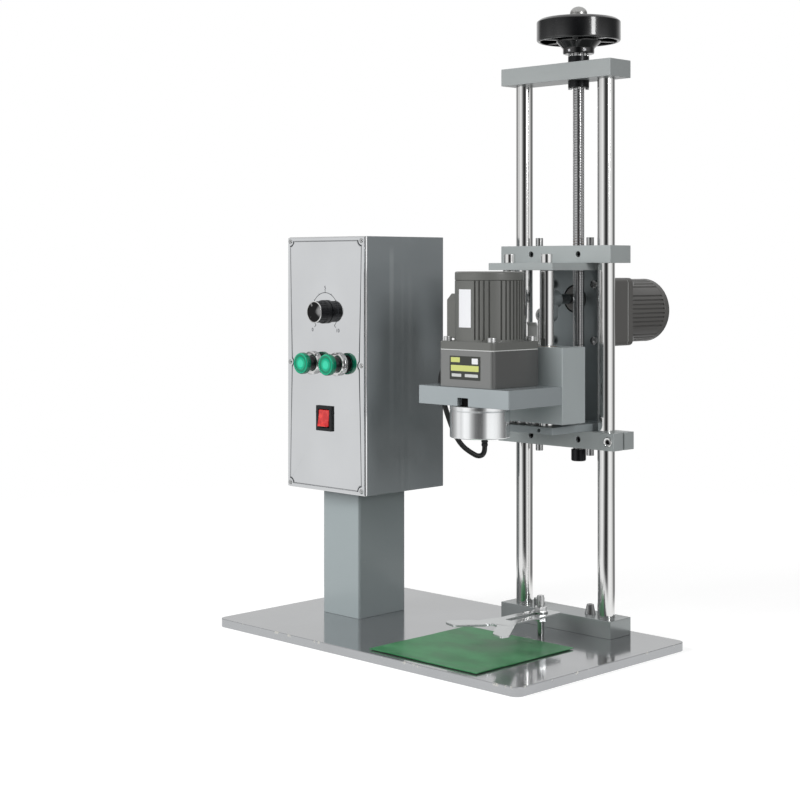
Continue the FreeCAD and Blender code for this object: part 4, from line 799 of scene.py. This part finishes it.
def make_mat():
    """The jar mat: a cut rubber sheet that has lifted a little round its edges."""
    low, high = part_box("jar_mat")
    middle = (low + high) / 2
    bpy.ops.mesh.primitive_grid_add(x_subdivisions=60, y_subdivisions=60, size=1,
                                    location=(middle.x, middle.y, high.z - 0.0002))
    mat = named("rubber_mat")
    mat.scale = (high.x - low.x, high.y - low.y, 1)
    settle(mat)
    half = (high - low) / 2
    for vertex in mat.data.vertices:
        u = (vertex.co.x - middle.x) / half.x
        v = (vertex.co.y - middle.y) / half.y
        edge = max(abs(u), abs(v))
        wave = noise.noise(Vector((vertex.co.x * 26, vertex.co.y * 26, 2.0)))
        vertex.co.z += 0.00025 * wave - 0.0003 + 0.0004 * max(0, edge - 0.8) * 5
        if edge > 0.999:
            wobble = noise.noise(Vector((vertex.co.x * 60, vertex.co.y * 60, 7.0)))
            vertex.co.x -= u * 0.0006 * (0.5 + wobble)
            vertex.co.y -= v * 0.0006 * (0.5 + wobble)
    with bench(mat):
        bpy.ops.mesh.select_all(action="SELECT")
        bpy.ops.mesh.extrude_region_move(TRANSFORM_OT_translate={"value": (0, 0, -0.001)})
        bpy.ops.mesh.select_all(action="SELECT")
        bpy.ops.mesh.normals_make_consistent(inside=False)
    broken_edges(mat, 0.0003, 2, 40)
    smooth(mat, 40)
    dressed(mat, "frame", "mat")
    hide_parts("jar_mat")


def taper_foot_bolt(piece):
    """Draw the right foot bolt's head up into a tapered cap."""
    x, y = HEAD_X + 0.038, ROD_Y
    with bench(piece, "VERT"):
        choose(lambda middle, vert: 0.0372 < middle.z < 0.0386 and
               math.hypot(middle.x - x, middle.y - y) < 0.0072, "verts")
        bpy.ops.transform.resize(value=(0.62, 0.62, 1), center_override=(x, y, 0.038))
        bpy.ops.transform.translate(value=(0, 0, 0.0035))


def turned_rods(node, places, y, radius):
    """A pair of upright chromed rods, turned smooth from end to end."""
    low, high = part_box(node)
    rods = [lathed(f"{node}_{number}", [
        (radius - 0.0006, low.z), (radius, low.z + 0.0006), (radius, high.z - 0.0006),
        (radius - 0.0006, high.z)], (x, y, 0), sides=96) for number, x in enumerate(places)]
    pair = smooth(joined(f"{node}_turned", rods))
    dressed(pair, BODY_OF[node], "chrome")
    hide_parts(node)


def make_frame():
    """The plates, bars, rods and bolts that stand still, and the handwheel."""
    refined("base_plate", "base", 0.0007, 3)
    refined("foot_bar", "foot", 0.0006)
    refined("top_bar", "top", 0.0006)
    turned_rods("main_rods", (0.0275, 0.1495), ROD_Y, 0.01)
    refined("frame_bolts", "steel", 0.0003, 2, shape=taper_foot_bolt)
    refined("flange_bolts", "steel", 0.0003)
    refined("screw_flanges", "blackened", 0.0004)
    refined("stop_collar", "blackened", 0.0004)
    refined("handwheel", "black", 0.0009, 3)
    refined("box_post", "post", 0.0006)
    refined("control_box", "box", 0.0005)


def make_lead_screw():
    """The lead screw: a turned core with its thread wound round it."""
    low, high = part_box("lead_screw")
    axis = Vector(SCREW_AXIS)
    bar_low, bar_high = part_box("top_bar")
    core, crest = 0.0065, 0.007
    core_piece = lathed("screw_core", [
        (core - 0.001, low.z), (core, low.z + 0.001), (core, bar_low.z - 0.002),
        (crest, bar_low.z - 0.0015), (crest, bar_low.z + 0.0003), (0.008, bar_low.z + 0.0003),
        (0.008, bar_high.z - 0.0003), (crest, bar_high.z - 0.0003),
        (crest, bar_high.z + 0.0105), (0.006, bar_high.z + 0.0105), (0.006, high.z - 0.0006),
        (0.0054, high.z)], axis, sides=40)
    pitch = 0.003
    bpy.ops.mesh.primitive_circle_add(vertices=4, radius=0.0009,
                                      location=(axis.x + core - 0.0004, axis.y, low.z + 0.003),
                                      rotation=(QUARTER, QUARTER, 0))
    thread = named("screw_thread")
    only(thread)
    bpy.ops.object.transform_apply(location=False, rotation=True, scale=False)
    with bench(thread, "VERT"):
        bpy.ops.mesh.select_all(action="SELECT")
        bpy.ops.transform.translate(value=(core - 0.0004, 0, 0))
    thread.location = (axis.x, axis.y, low.z + 0.003)
    modified(thread, "wind", "SCREW", axis="Z", screw_offset=pitch, steps=28,
             iterations=int((bar_low.z - 0.006 - low.z) / pitch), render_steps=28,
             use_merge_vertices=False)
    settle(thread)
    outward(thread)
    screw = joined("lead_screw_threaded", [core_piece, thread])
    smooth(screw, 36)
    dressed(screw, "handwheel", "screw")
    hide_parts("lead_screw")


def make_dome_nut():
    """The acorn nut on the handwheel, with its washer face."""
    low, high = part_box("dome_nut")
    axis = Vector((SCREW_X, ROD_Y, low.z))
    tall = high.z - low.z
    outline = [(0.0086, 0), (0.0086, 0.0012), (0.0099, 0.0013), (0.01, 0.0058)]
    for step in range(1, 9):
        angle = step / 9 * QUARTER
        outline.append((0.01 * math.cos(angle), 0.0058 + (tall - 0.0058) * math.sin(angle)))
    outline.append((0.0012, tall))
    nut = lathed("acorn_nut", outline, axis, sides=56)
    broken_edges(nut, 0.0002, 2, 40)
    smooth(nut, 40)
    dressed(nut, "handwheel", "dome")
    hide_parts("dome_nut")


def make_hub_screws():
    """Two grub screws in the handwheel's hub, finished white as painted highlights."""
    screws = []
    for number, angle in enumerate((-87, -28.5)):
        turn = math.radians(angle)
        screw = lathed(f"hub_screw_{number}", [
            (0.0016, -0.002), (0.0016, 0.0003), (0.0012, 0.0006), (0.0008, 0.0006)],
            (0, -0.0183, 0), "front", 24)
        screw.rotation_euler = (0, 0, turn + QUARTER)
        screw.location = (SCREW_X, ROD_Y, 0.679)
        screws.append(settle(screw))
    # Painted highlight: the white sticker finish makes the screws show as bright glints.
    dressed(smooth(joined("hub_screw_glints", screws)), "handwheel", "label")


make_mat()
make_frame()
make_lead_screw()
make_dome_nut()
make_hub_screws()


# ------------------------------------------------------- control box and dial

def stroke(name, points, width, rise, closed=False):
    """A thin raised line on the front panel through points of X and Z."""
    piece = as_mesh(drawn_line(name, "POLY", [(x, 0, z) for x, z in points], width, 2, closed))
    piece.scale = (1, rise * 2 / width, 1)
    piece.location = (0, PANEL_Y, 0)
    return smooth(settle(piece), 50)


def make_panel():
    """The polished panel with the stamped line that runs round it, past its screws, drawn as a
    dark strip of painted shade beside a raised bright bead.
    """
    refined("front_panel", "panel", 0.0003)
    refined("panel_screws", "steel", 0.0002)
    low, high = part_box("front_panel")
    screws_low, screws_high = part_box("panel_screws")
    left, right = screws_low.x + 0.003, screws_high.x - 0.003
    floor, top = screws_low.z + 0.003, screws_high.z - 0.003
    middle = 0.314

    def arc(x, z, start, end, radius, steps=10):
        turns = [math.radians(start + (end - start) * step / steps)
                 for step in range(steps + 1)]
        return [(x + radius * math.cos(turn), z + radius * math.sin(turn)) for turn in turns]

    def outline(shrink):
        """The line round the panel, by its screws' places, turning inward at each."""
        away = 0.0058 + shrink
        return (arc(left, floor, 90, 0, away) + arc(right, floor, 180, 90, away) +
                arc(right, middle, 235, 125, away) + arc(right, top, 270, 180, away) +
                arc(left, top, 0, -90, away) + arc(left, middle, 55, -55, away))

    # Painted shade: a dark strip stands for the shade along the stamped line.
    dark = stroke("panel_line_shade", outline(0), 0.0017, 0.0002, True)
    dressed(dark, "frame", "shadow")
    light = stroke("panel_bead", outline(0.0014), 0.0008, 0.00025, True)
    dressed(light, "frame", "panel")


def make_dial():
    """The dial's arc and its numbers round the speed knob."""
    def spot(angle, radius):
        turn = math.radians(angle)
        return (POST_X + radius * math.sin(turn), KNOB_Z + radius * math.cos(turn))

    marks = [stroke("dial_arc", [spot(angle, 0.0228) for angle in range(-135, 136, 6)],
                    0.00075, 0.0001)]
    for number in range(11):
        angle = -135 + 27 * number
        far = 0.0262 if number % 5 == 0 else 0.0242
        marks.append(stroke(f"dial_tick_{number}", [spot(angle, 0.0228), spot(angle, far)],
                            0.0008, 0.0001))
    arc = joined("dial_marks", marks)
    dressed(arc, "frame", "ink")
    figures = []
    for number, angle, away in ((0, -135, 0.0312), (5, 0, 0.0285), (10, 135, 0.0312)):
        x, z = spot(angle, away)
        words = bpy.data.curves.new(f"figure_{number}", "FONT")
        words.body = str(number)
        words.size = 0.0062
        words.align_x = "CENTER"
        words.align_y = "CENTER"
        words.extrude = 0.00006
        figure = bpy.data.objects.new(f"figure_{number}", words)
        bpy.context.scene.collection.objects.link(figure)
        figure = as_mesh(figure)
        figure.rotation_euler = (QUARTER, 0, 0)
        figure.location = (x, PANEL_Y - 0.00004, z)
        figures.append(settle(figure))
    dressed(joined("dial_figures", figures), "frame", "ink")


def make_knob():
    """The speed knob: a fluted skirt, a bright ring and a spun cap with its pointer."""
    at = (POST_X, PANEL_Y, KNOB_Z)
    knob = lathed("speed_knob_body", [
        (0.0076, 0.0006), (0.014, 0.0006), (0.014, 0.0046), (0.0131, 0.0056),
        (0.0128, 0.0058), (0.01265, 0.0169), (0.0119, 0.0175), (0.0104, 0.0175)],
        (0, 0, 0), sides=96)
    ribbed(knob, 0.006, 0.0165, lambda turn: int(turn / 3.75) % 4 < 2, -0.0004)
    turned_to(knob, "front", at)
    broken_edges(knob, 0.00015, 1, 50)
    smooth(knob, 30)
    dressed(knob, "speed_dial", "knob")
    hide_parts("speed_knob")

    ring = lathed("knob_ring", [
        (0.0124, 0.0168), (0.0128, 0.0169), (0.0129, 0.0177), (0.0125, 0.0180),
        (0.0119, 0.0180), (0.0117, 0.0176), (0.0116, 0.0166)], at, "front", 96)
    broken_edges(ring, 0.00012, 2, 40)
    dressed(smooth(ring), "speed_dial", "chrome")

    cap = lathed("knob_cap", [
        (0.0119, 0.0170), (0.0119, 0.0178), (0.0112, 0.0179), (0.0070, 0.01775),
        (0.0030, 0.0176), (0.0006, 0.01755)], at, "front", 96)
    dressed(smooth(cap, 50), "speed_dial", "spun")

    pointer = plate("knob_pointer", (-0.0004, -0.0181, 0.0074), (0.0004, -0.0175, 0.0108))
    pointer.rotation_euler = (0, math.radians(-135), 0)
    settle(pointer)
    pointer.location = at
    settle(pointer)
    broken_edges(pointer, 0.0001, 1)
    dressed(pointer, "speed_dial", "rubber")


def make_buttons():
    """Two push buttons: a knurled chrome ring, a black neck and a green head."""
    for side, x in (("start", POST_X - BUTTON_APART), ("stop", POST_X + BUTTON_APART)):
        at = (x, PANEL_Y, BUTTON_Z)
        body = f"{side}_push"
        ring = lathed(f"{side}_button_ring", [
            (0.0100, 0.0002), (0.0136, 0.0002), (0.0138, 0.0006), (0.0138, 0.0034),
            (0.0131, 0.0044), (0.0118, 0.0050), (0.0100, 0.0051), (0.0096, 0.0046)],
            (0, 0, 0), sides=120)
        ribbed(ring, 0.0008, 0.0032, lambda turn: int(turn / 3) % 2, 0.0003)
        turned_to(ring, "front", at)
        broken_edges(ring, 0.00012, 1, 50)
        dressed(smooth(ring, 30), "frame", "chrome")

        neck = lathed(f"{side}_button_neck", [
            (0.0086, -0.009), (0.0090, -0.0086), (0.0090, 0.0128), (0.0104, 0.0130),
            (0.0106, 0.0140), (0.0090, 0.0141)], at, "front", 64)
        broken_edges(neck, 0.00015, 2, 40)
        dressed(smooth(neck, 40), body, "knob")
        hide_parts(f"{side}_button")

        head = lathed(f"{side}_button_head", [
            (0.0100, 0.0136), (0.0122, 0.0136), (0.0128, 0.0140), (0.0129, 0.0148),
            (0.0128, 0.0184), (0.0123, 0.0197), (0.0114, 0.0204), (0.0106, 0.0203),
            (0.0100, 0.0197), (0.0092, 0.0194), (0.0078, 0.0196), (0.0066, 0.0201),
            (0.0056, 0.0202), (0.0048, 0.0198), (0.0032, 0.0197), (0.0009, 0.0197)],
            at, "front", 80)
        broken_edges(head, 0.00015, 2, 40)
        dressed(smooth(head, 40), body, "lens")


def make_switch():
    """The power switch: its housing, a kinked red rocker and two small ears."""
    refined("switch_housing", "matt", 0.0004, 2, whole=False)
    rocker = plate("red_rocker", (POST_X - 0.0091, -0.0606, 0.2392),
                   (POST_X + 0.0091, -0.0546, 0.2593))
    with bench(rocker, "VERT"):
        choose(lambda middle, vert: middle.y > -0.056, "verts")
        bpy.ops.transform.resize(value=(1, 1, 0.82), center_override=(POST_X, 0, 0.24925))
    with bench(rocker):
        bpy.ops.mesh.select_all(action="SELECT")
        bpy.ops.mesh.bisect(plane_co=(0, 0, 0.249), plane_no=(0, 0, 1))
    with bench(rocker, "VERT"):
        choose(lambda middle, vert: middle.y < -0.060 and middle.z < 0.240, "verts")
        bpy.ops.transform.translate(value=(0, -0.0026, 0))
    with bench(rocker, "VERT"):
        choose(lambda middle, vert: middle.y < -0.060 and 0.245 < middle.z < 0.252, "verts")
        bpy.ops.transform.translate(value=(0, -0.0007, 0))
    broken_edges(rocker, 0.0007, 3, 20)
    dressed(smooth(rocker), BODY_OF["power_rocker"], "red")
    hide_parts("power_rocker")
    low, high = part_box("switch_housing")
    middle = (low.z + high.z) / 2 + 0.007
    for side, x, way in (("left", low.x, -1), ("right", high.x, 1)):
        ear = plate(f"switch_ear_{side}", (min(x, x + way * 0.0018), PANEL_Y - 0.0014,
                                           middle - 0.0028),
                    (max(x, x + way * 0.0018), PANEL_Y - 0.0001, middle + 0.0028))
        with bench(ear):
            choose(lambda centre, face: face.normal.x * way > 0.9)
            bpy.ops.transform.resize(value=(1, 0.5, 0.35))
        broken_edges(ear, 0.0002, 1)
        dressed(ear, "frame", "matt")


make_panel()
make_dial()
make_knob()
make_buttons()
make_switch()


# ----------------------------------------------------------------- positioner

def round_tips(piece):
    """Round the fork's outline corners before its edges are broken."""
    with bench(piece, "EDGE"):
        choose(lambda middle, edge: runs_along(edge, 2) and edge.is_manifold and
               edge.calc_face_angle(0) > 0.5, "edges")
        bpy.ops.mesh.bevel(offset=0.0024, segments=4, affect="EDGES")


def make_positioner():
    """The sheet fork that holds the jar, and what clamps it to the base."""
    refined("positioner_fork", "sheet", 0.0003, 2, 50, round_tips)
    refined("positioner_stud", "steel", 0.0004)
    refined("clamp_nut", "steel", 0.0004)


make_positioner()


# ------------------------------------------------------------------- carriage

def plug_screw(name, at):
    """A socket grub screw in a front face, sunk in its hole."""
    radius = 0.0032
    return smooth(lathed(name, [
        (radius, -0.001), (radius, 0.001), (radius * 0.8, 0.0016), (radius * 0.56, 0.0016),
        (radius * 0.56, 0.0002)], at, "front", 24), 40)


def make_carriage():
    """The bars and plates that slide on the rods, with their screws."""
    for node in ("lower_carriage_bar", "upper_carriage_bar"):
        refined(node, "bars", 0.0006)
    refined("bottom_plate", "plates", 0.0006)
    refined("top_plate", "bars", 0.0006)
    refined("back_plate", "back", 0.0005)
    turned_rods("guide_rods", (0.061, 0.116), 0.0445, 0.008)
    refined("guide_rod_screws", "chrome", 0.0003)
    refined("stop_buttons", "zinc", 0.0005)
    refined("carriage_screws", "steel", 0.0003)
    plugs = []
    for node, end in (("lower_carriage_bar", -1), ("upper_carriage_bar", 1)):
        low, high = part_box(node)
        for side in (-1, 1):
            plugs.append(plug_screw(f"lock_{node}_{side}", (
                HEAD_X + side * 0.035, low.y + 0.0042, (low.z + high.z) / 2)))
    dressed(joined("bar_lock_screws", plugs), "carriage", "blackened")
    low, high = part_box("lower_carriage_bar")
    middle = (low.z + high.z) / 2
    clamps = [lathed(f"clamp_washer_{side}", [
        (0.0034, 0), (0.0056, 0), (0.0060, 0.0004), (0.0058, 0.0011), (0.0048, 0.0015),
        (0.0036, 0.0012), (0.0034, 0.0002)],
        (HEAD_X + side * 0.078, low.y - 0.00005, middle), "front", 48) for side in (-1, 1)]
    # Painted shade: dark discs stand for the shade inside the screws' sockets.
    sockets = [lathed(f"clamp_socket_{side}", [(0.0029, 0.0001), (0.0029, 0.0004)],
                      (HEAD_X + side * 0.078, low.y, middle), "front", 6)
               for side in (-1, 1)]
    dressed(joined("clamp_sockets", sockets), "carriage", "pit")
    dressed(smooth(joined("clamp_screw_rings", clamps)), "carriage", "chrome")


make_carriage()


# ------------------------------------------------------- gear motors and head

def flange_seam(name, low, high, axis, body):
    """A pale band along the seam between a gearhead and its motor, as a painted highlight."""
    seam = plate(name, low, high)
    with bench(seam, "EDGE"):
        choose(lambda middle, edge: runs_along(edge, axis), "edges")
        bpy.ops.mesh.bevel(offset=0.0058, segments=6, affect="EDGES")
    dressed(smooth(seam, 40), body, "pale")


def make_motors():
    """The drive motor on the head and the lift motor at the back, with their gearheads."""
    for side, finish in (("drive", "motor"), ("lift", "rear_motor")):
        head = "gearhead" if side == "drive" else finish
        refined(f"{side}_gearhead", head, 0.0007)
        refined(f"{side}_motor_body", finish, 0.0004)
        refined(f"{side}_motor_cap", finish, 0.0012, 3, 20)
        refined(f"{side}_motor_screws", "zinc", 0.0003)
    low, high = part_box("drive_gearhead")
    flange_seam("drive_seam_highlight", (low.x + 0.0002, low.y + 0.0002, high.z - 0.0001),
                (high.x - 0.0002, high.y - 0.0002, high.z + 0.0009), 2, "head")
    low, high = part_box("lift_gearhead")
    flange_seam("lift_seam_highlight", (low.x + 0.0004, high.y - 0.0001, low.z + 0.0004),
                (high.x - 0.0004, high.y + 0.0009, high.z - 0.0004), 1, "carriage")


def panel_chip(name, x, z, deep, finish, y):
    """A thin plate on a front face, with its corners rounded."""
    chip = plate(name, (x[0], y - deep, z[0]), (x[1], y, z[1]))
    with bench(chip, "EDGE"):
        choose(lambda middle, edge: runs_along(edge, 1), "edges")
        bpy.ops.mesh.bevel(offset=0.0005, segments=3, affect="EDGES")
    broken_edges(chip, 0.00006, 1, 50)
    return dressed(chip, "head", finish)


def make_nameplate():
    """A plain rating plate with blank fields."""
    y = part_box("drive_gearhead")[0].y
    x0, x1, z0, z1 = 0.0660, 0.1110, 0.3059, 0.3318
    panel_chip("rating_plate", (x0, x1), (z0, z1), 0.0004, "plate_black", y)
    wide, tall = x1 - x0, z1 - z0
    fields = [("lime", 0.042, 0.34, 0.73, 0.94), ("label", 0.73, 0.93, 0.68, 0.92),
              ("lime", 0.042, 0.953, 0.364, 0.61), ("pale", 0.07, 0.387, 0.12, 0.25),
              ("pale", 0.505, 0.93, 0.12, 0.25)]
    for number, (finish, a, b, c, d) in enumerate(fields):
        panel_chip(f"rating_field_{number}", (x0 + wide * a, x0 + wide * b),
                   (z0 + tall * c, z0 + tall * d), 0.00012, finish, y - 0.0004)


def make_sticker():
    """A blank paper sticker, wrapped on the motor's barrel."""
    bpy.ops.mesh.primitive_cylinder_add(vertices=180, radius=0.03842, depth=0.0418,
                                        end_fill_type="NOTHING",
                                        location=(HEAD_X, MOTOR_Y, 0.3840))
    sticker = settle(named("blank_sticker"))
    with bench(sticker):
        choose(lambda middle, face: not 251 < (math.degrees(math.atan2(
            middle.y - MOTOR_Y, middle.x - HEAD_X)) % 360) < 279)
        bpy.ops.mesh.delete(type="FACE")
    modified(sticker, "paper", "SOLIDIFY", thickness=0.00018, offset=1)
    smooth(sticker, 40)
    dressed(sticker, "head", "label")


def make_clip():
    """The small earth clip on the drive motor's rear flange corner."""
    low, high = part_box("drive_motor_screws")
    x, y, z = high.x - 0.0046, high.y - 0.0046, 0.349
    tab = plate("earth_clip", (x - 0.0075, y + 0.0032, z - 0.001),
                (x + 0.0065, y + 0.0042, z + 0.015))
    with bench(tab):
        choose(lambda middle, face: face.normal.z > 0.9)
        bpy.ops.mesh.extrude_region_move(TRANSFORM_OT_translate={"value": (0.001, -0.003, 0.004)})
    broken_edges(tab, 0.0003)
    dressed(smooth(tab), "head", "pale")


def make_head():
    """The head block with its table, cup and crank."""
    refined("head_block", "head", 0.0006)
    refined("motor_table", "table", 0.0006)
    refined("capping_cup", "cup", 0.0005, 3)
    refined("cup_liner", "rubber", 0.0004)
    refined("table_bolts", "steel", 0.0003)
    refined("crank_arm", "back", 0.0005)
    refined("connecting_rod", "steel", 0.0005)
    refined("link_bolt", "steel", 0.0004)


def make_notch_shade():
    """The dark inside of the notch in the motor table's front."""
    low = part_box("motor_table")[0]
    recess = plate("notch_shade", (HEAD_X - 0.0077, low.y + 0.0072, low.z + 0.0002),
                   (HEAD_X + 0.0077, low.y + 0.0099, low.z + 0.0091))
    broken_edges(recess, 0.0003, 1)
    dressed(recess, "head", "pit")


def make_gland():
    """The ribbed rubber sleeve where the cable enters the head."""
    low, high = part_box("cable_gland")
    x, y = 0.0325, 0.033
    tall = high.z - low.z
    outline = [(0.0035, 0), (0.0037, 0.0006)]
    ribs = 7
    reach = tall - 0.009
    for rib in range(ribs):
        base = 0.001 + (reach - 0.001) * rib / ribs
        step = (reach - 0.001) / ribs
        radius = 0.0037 + 0.0012 * rib / ribs
        outline += [(radius, base), (radius + 0.0001, base + step * 0.6),
                    (radius - 0.0006, base + step * 0.7), (radius - 0.0006, base + step * 0.95)]
    outline += [(0.0049, reach), (0.0064, reach + 0.0004), (0.0065, tall - 0.0005),
                (0.0064, tall)]
    gland = lathed("gland_sleeve", outline, (x, y, low.z), sides=36)
    smooth(gland, 34)
    dressed(gland, "head", "matt")
    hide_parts("cable_gland")


make_motors()
make_nameplate()
make_sticker()
make_clip()
make_head()
make_notch_shade()
make_gland()


# ------------------------------------------------- finishes of the CAD parts

PLAIN = {"drive_board": "board", "button_bodies": "chrome", "lead_nut": "bronze",
         "head_bushes": "bronze"}


def finish_the_rest():
    """Give each CAD part a finish of its own, which is steel unless it says otherwise."""
    for node, part in NODES.items():
        finish = FINISH[PLAIN.get(node, "steel")]
        if not part.data.materials:
            part.data.materials.append(finish)
        for place in part.material_slots:
            place.material = finish


finish_the_rest()


# ------------------------------------------------------ floor, lights and sky

WINDOWS = [(-180, 0.12), (-155, 0.42), (-143, 0.74), (-137, 0.78), (-131, 0.76), (-125, 0.68),
           (-109, 1.0), (-93, 0.9), (-80, 0.4), (-66, 0.08), (-53, 0.015), (-40, 0.05),
           (-27, 0.4), (-19, 0.95), (1, 1.0), (18, 0.9), (30, 0.7), (42, 0.36), (56, 0.16),
           (70, 0.12), (90, 0.4), (105, 0.72), (160, 0.72), (171, 0.4), (180, 0.12)]
WALLS = [(-180, 0.12), (-150, 0.16), (-109, 0.2), (-60, 0.06), (-20, 0.12), (70, 0.12),
         (90, 0.4), (105, 0.72), (160, 0.72), (171, 0.4), (180, 0.12)]


def lit_by(b, across, deep, levels):
    """How light the room is, by the way that a ray goes, in degrees round the machine."""
    turn = b.math("ARCTAN2", deep, across)
    share = b.math("DIVIDE", b.plus(turn, math.pi), 2 * math.pi)
    ramp = b.add("ShaderNodeValToRGB")
    b.set(ramp.inputs["Fac"], share)
    places = ramp.color_ramp.elements
    for (angle, level), place in zip(levels, [places[0], places[1]] +
                                     [None] * (len(levels) - 2)):
        where = (angle + 180) / 360
        if place is None:
            place = places.new(where)
        place.position = where
        place.color = (level, level, level, 1)
    return ramp.outputs["Color"]


def make_stage():
    """A pale round floor that shows white, keeps a faint shadow and mirrors the windows."""
    bpy.ops.mesh.primitive_circle_add(vertices=128, radius=1.35, fill_type="NGON",
                                      location=(0, 0, -0.0002))
    floor = settle(named("floor"))
    surface = bpy.data.materials.new("pale floor")
    surface.use_nodes = True
    b = Bench(surface.node_tree)
    b.tree.nodes.clear()
    leave = b.add("ShaderNodeOutputMaterial")
    far = b.add("ShaderNodeVectorMath", operation="LENGTH")
    b.tree.links.new(b.place(), far.inputs[0])
    away = far.outputs["Value"]
    matt = b.fed("ShaderNodeBsdfDiffuse", b.grey(b.band(away, 0.5, 1.25, 0.5, 0.0)))
    glow = b.add("ShaderNodeEmission")
    rays = b.add("ShaderNodeLightPath")
    seen = b.math("MAXIMUM", rays.outputs["Is Camera Ray"], rays.outputs["Is Transmission Ray"])
    level = b.band(away, 0.5, 1.25, 0.7, 1.04)
    b.set(glow.inputs["Strength"], b.times(seen, level))
    both = b.fed("ShaderNodeAddShader", matt, glow.outputs[0])
    spot = b.split(b.place(location=(-HEAD_X, -ROD_Y, 0)))
    windows = lit_by(b, spot["X"], spot["Y"], WINDOWS)
    mirrored = b.fed("ShaderNodeEmission",
                     b.mix(b.band(away, 0.34, 0.46), b.grey(0.95), windows))
    b.set(leave.inputs["Surface"], b.fed("ShaderNodeMixShader", rays.outputs["Is Glossy Ray"],
                                         both, mirrored))
    floor.data.materials.append(surface)


def add_lamp(name, at, target, size, power, mirrored=True):
    """A soft lamp that looks at a spot, seen in the metal or not."""
    lamp = bpy.data.lights.new(name, "AREA")
    lamp.shape = "RECTANGLE"
    lamp.size, lamp.size_y = size
    lamp.energy = power
    holder = bpy.data.objects.new(name, lamp)
    holder.location = at
    holder.visible_glossy = mirrored
    aim = Vector(target) - Vector(at)
    holder.rotation_euler = aim.to_track_quat("-Z", "Y").to_euler()
    bpy.context.scene.collection.objects.link(holder)
    return holder


def make_sky():
    """White to the eye; to the metal, two broad windows in a dim room."""
    world = bpy.data.worlds.new("studio")
    bpy.context.scene.world = world
    world.use_nodes = True
    b = Bench(world.node_tree)
    b.tree.nodes.clear()
    leave = b.add("ShaderNodeOutputWorld")
    rays = b.add("ShaderNodeLightPath")
    way = b.add("ShaderNodeTexCoord")
    parts = b.split(way.outputs["Generated"])
    low = lit_by(b, parts["X"], parts["Y"], WINDOWS)
    high = lit_by(b, parts["X"], parts["Y"], WALLS)
    room = b.mix(b.band(parts["Z"], 0.115, 0.16), low, high)
    above = b.band(parts["Z"], 0.3, 0.6)
    glossy = b.mix(above, room, (0.8, 0.8, 0.8, 1))
    soft = b.mix(rays.outputs["Is Glossy Ray"], (0.42, 0.42, 0.42, 1), glossy)
    clear = b.math("MAXIMUM", rays.outputs["Is Camera Ray"],
                   rays.outputs["Is Transmission Ray"])
    shade = b.mix(clear, soft, (1, 1, 1, 1))
    b.set(leave.inputs["Surface"], b.fed("ShaderNodeBackground", shade))


def light_up():
    """The floor, the sky and the lamps, with colours as they are."""
    make_stage()
    make_sky()
    add_lamp("key", (-0.75, -2.3, 1.35), (0, 0, 0.3), (1.6, 1.6), 51, False)
    add_lamp("strip", (2.65, -0.384, 1.28), (0.11, 0.11, 0.7), (0.5, 1.1), 22)
    view = bpy.context.scene.view_settings
    view.view_transform = "Standard"


light_up()
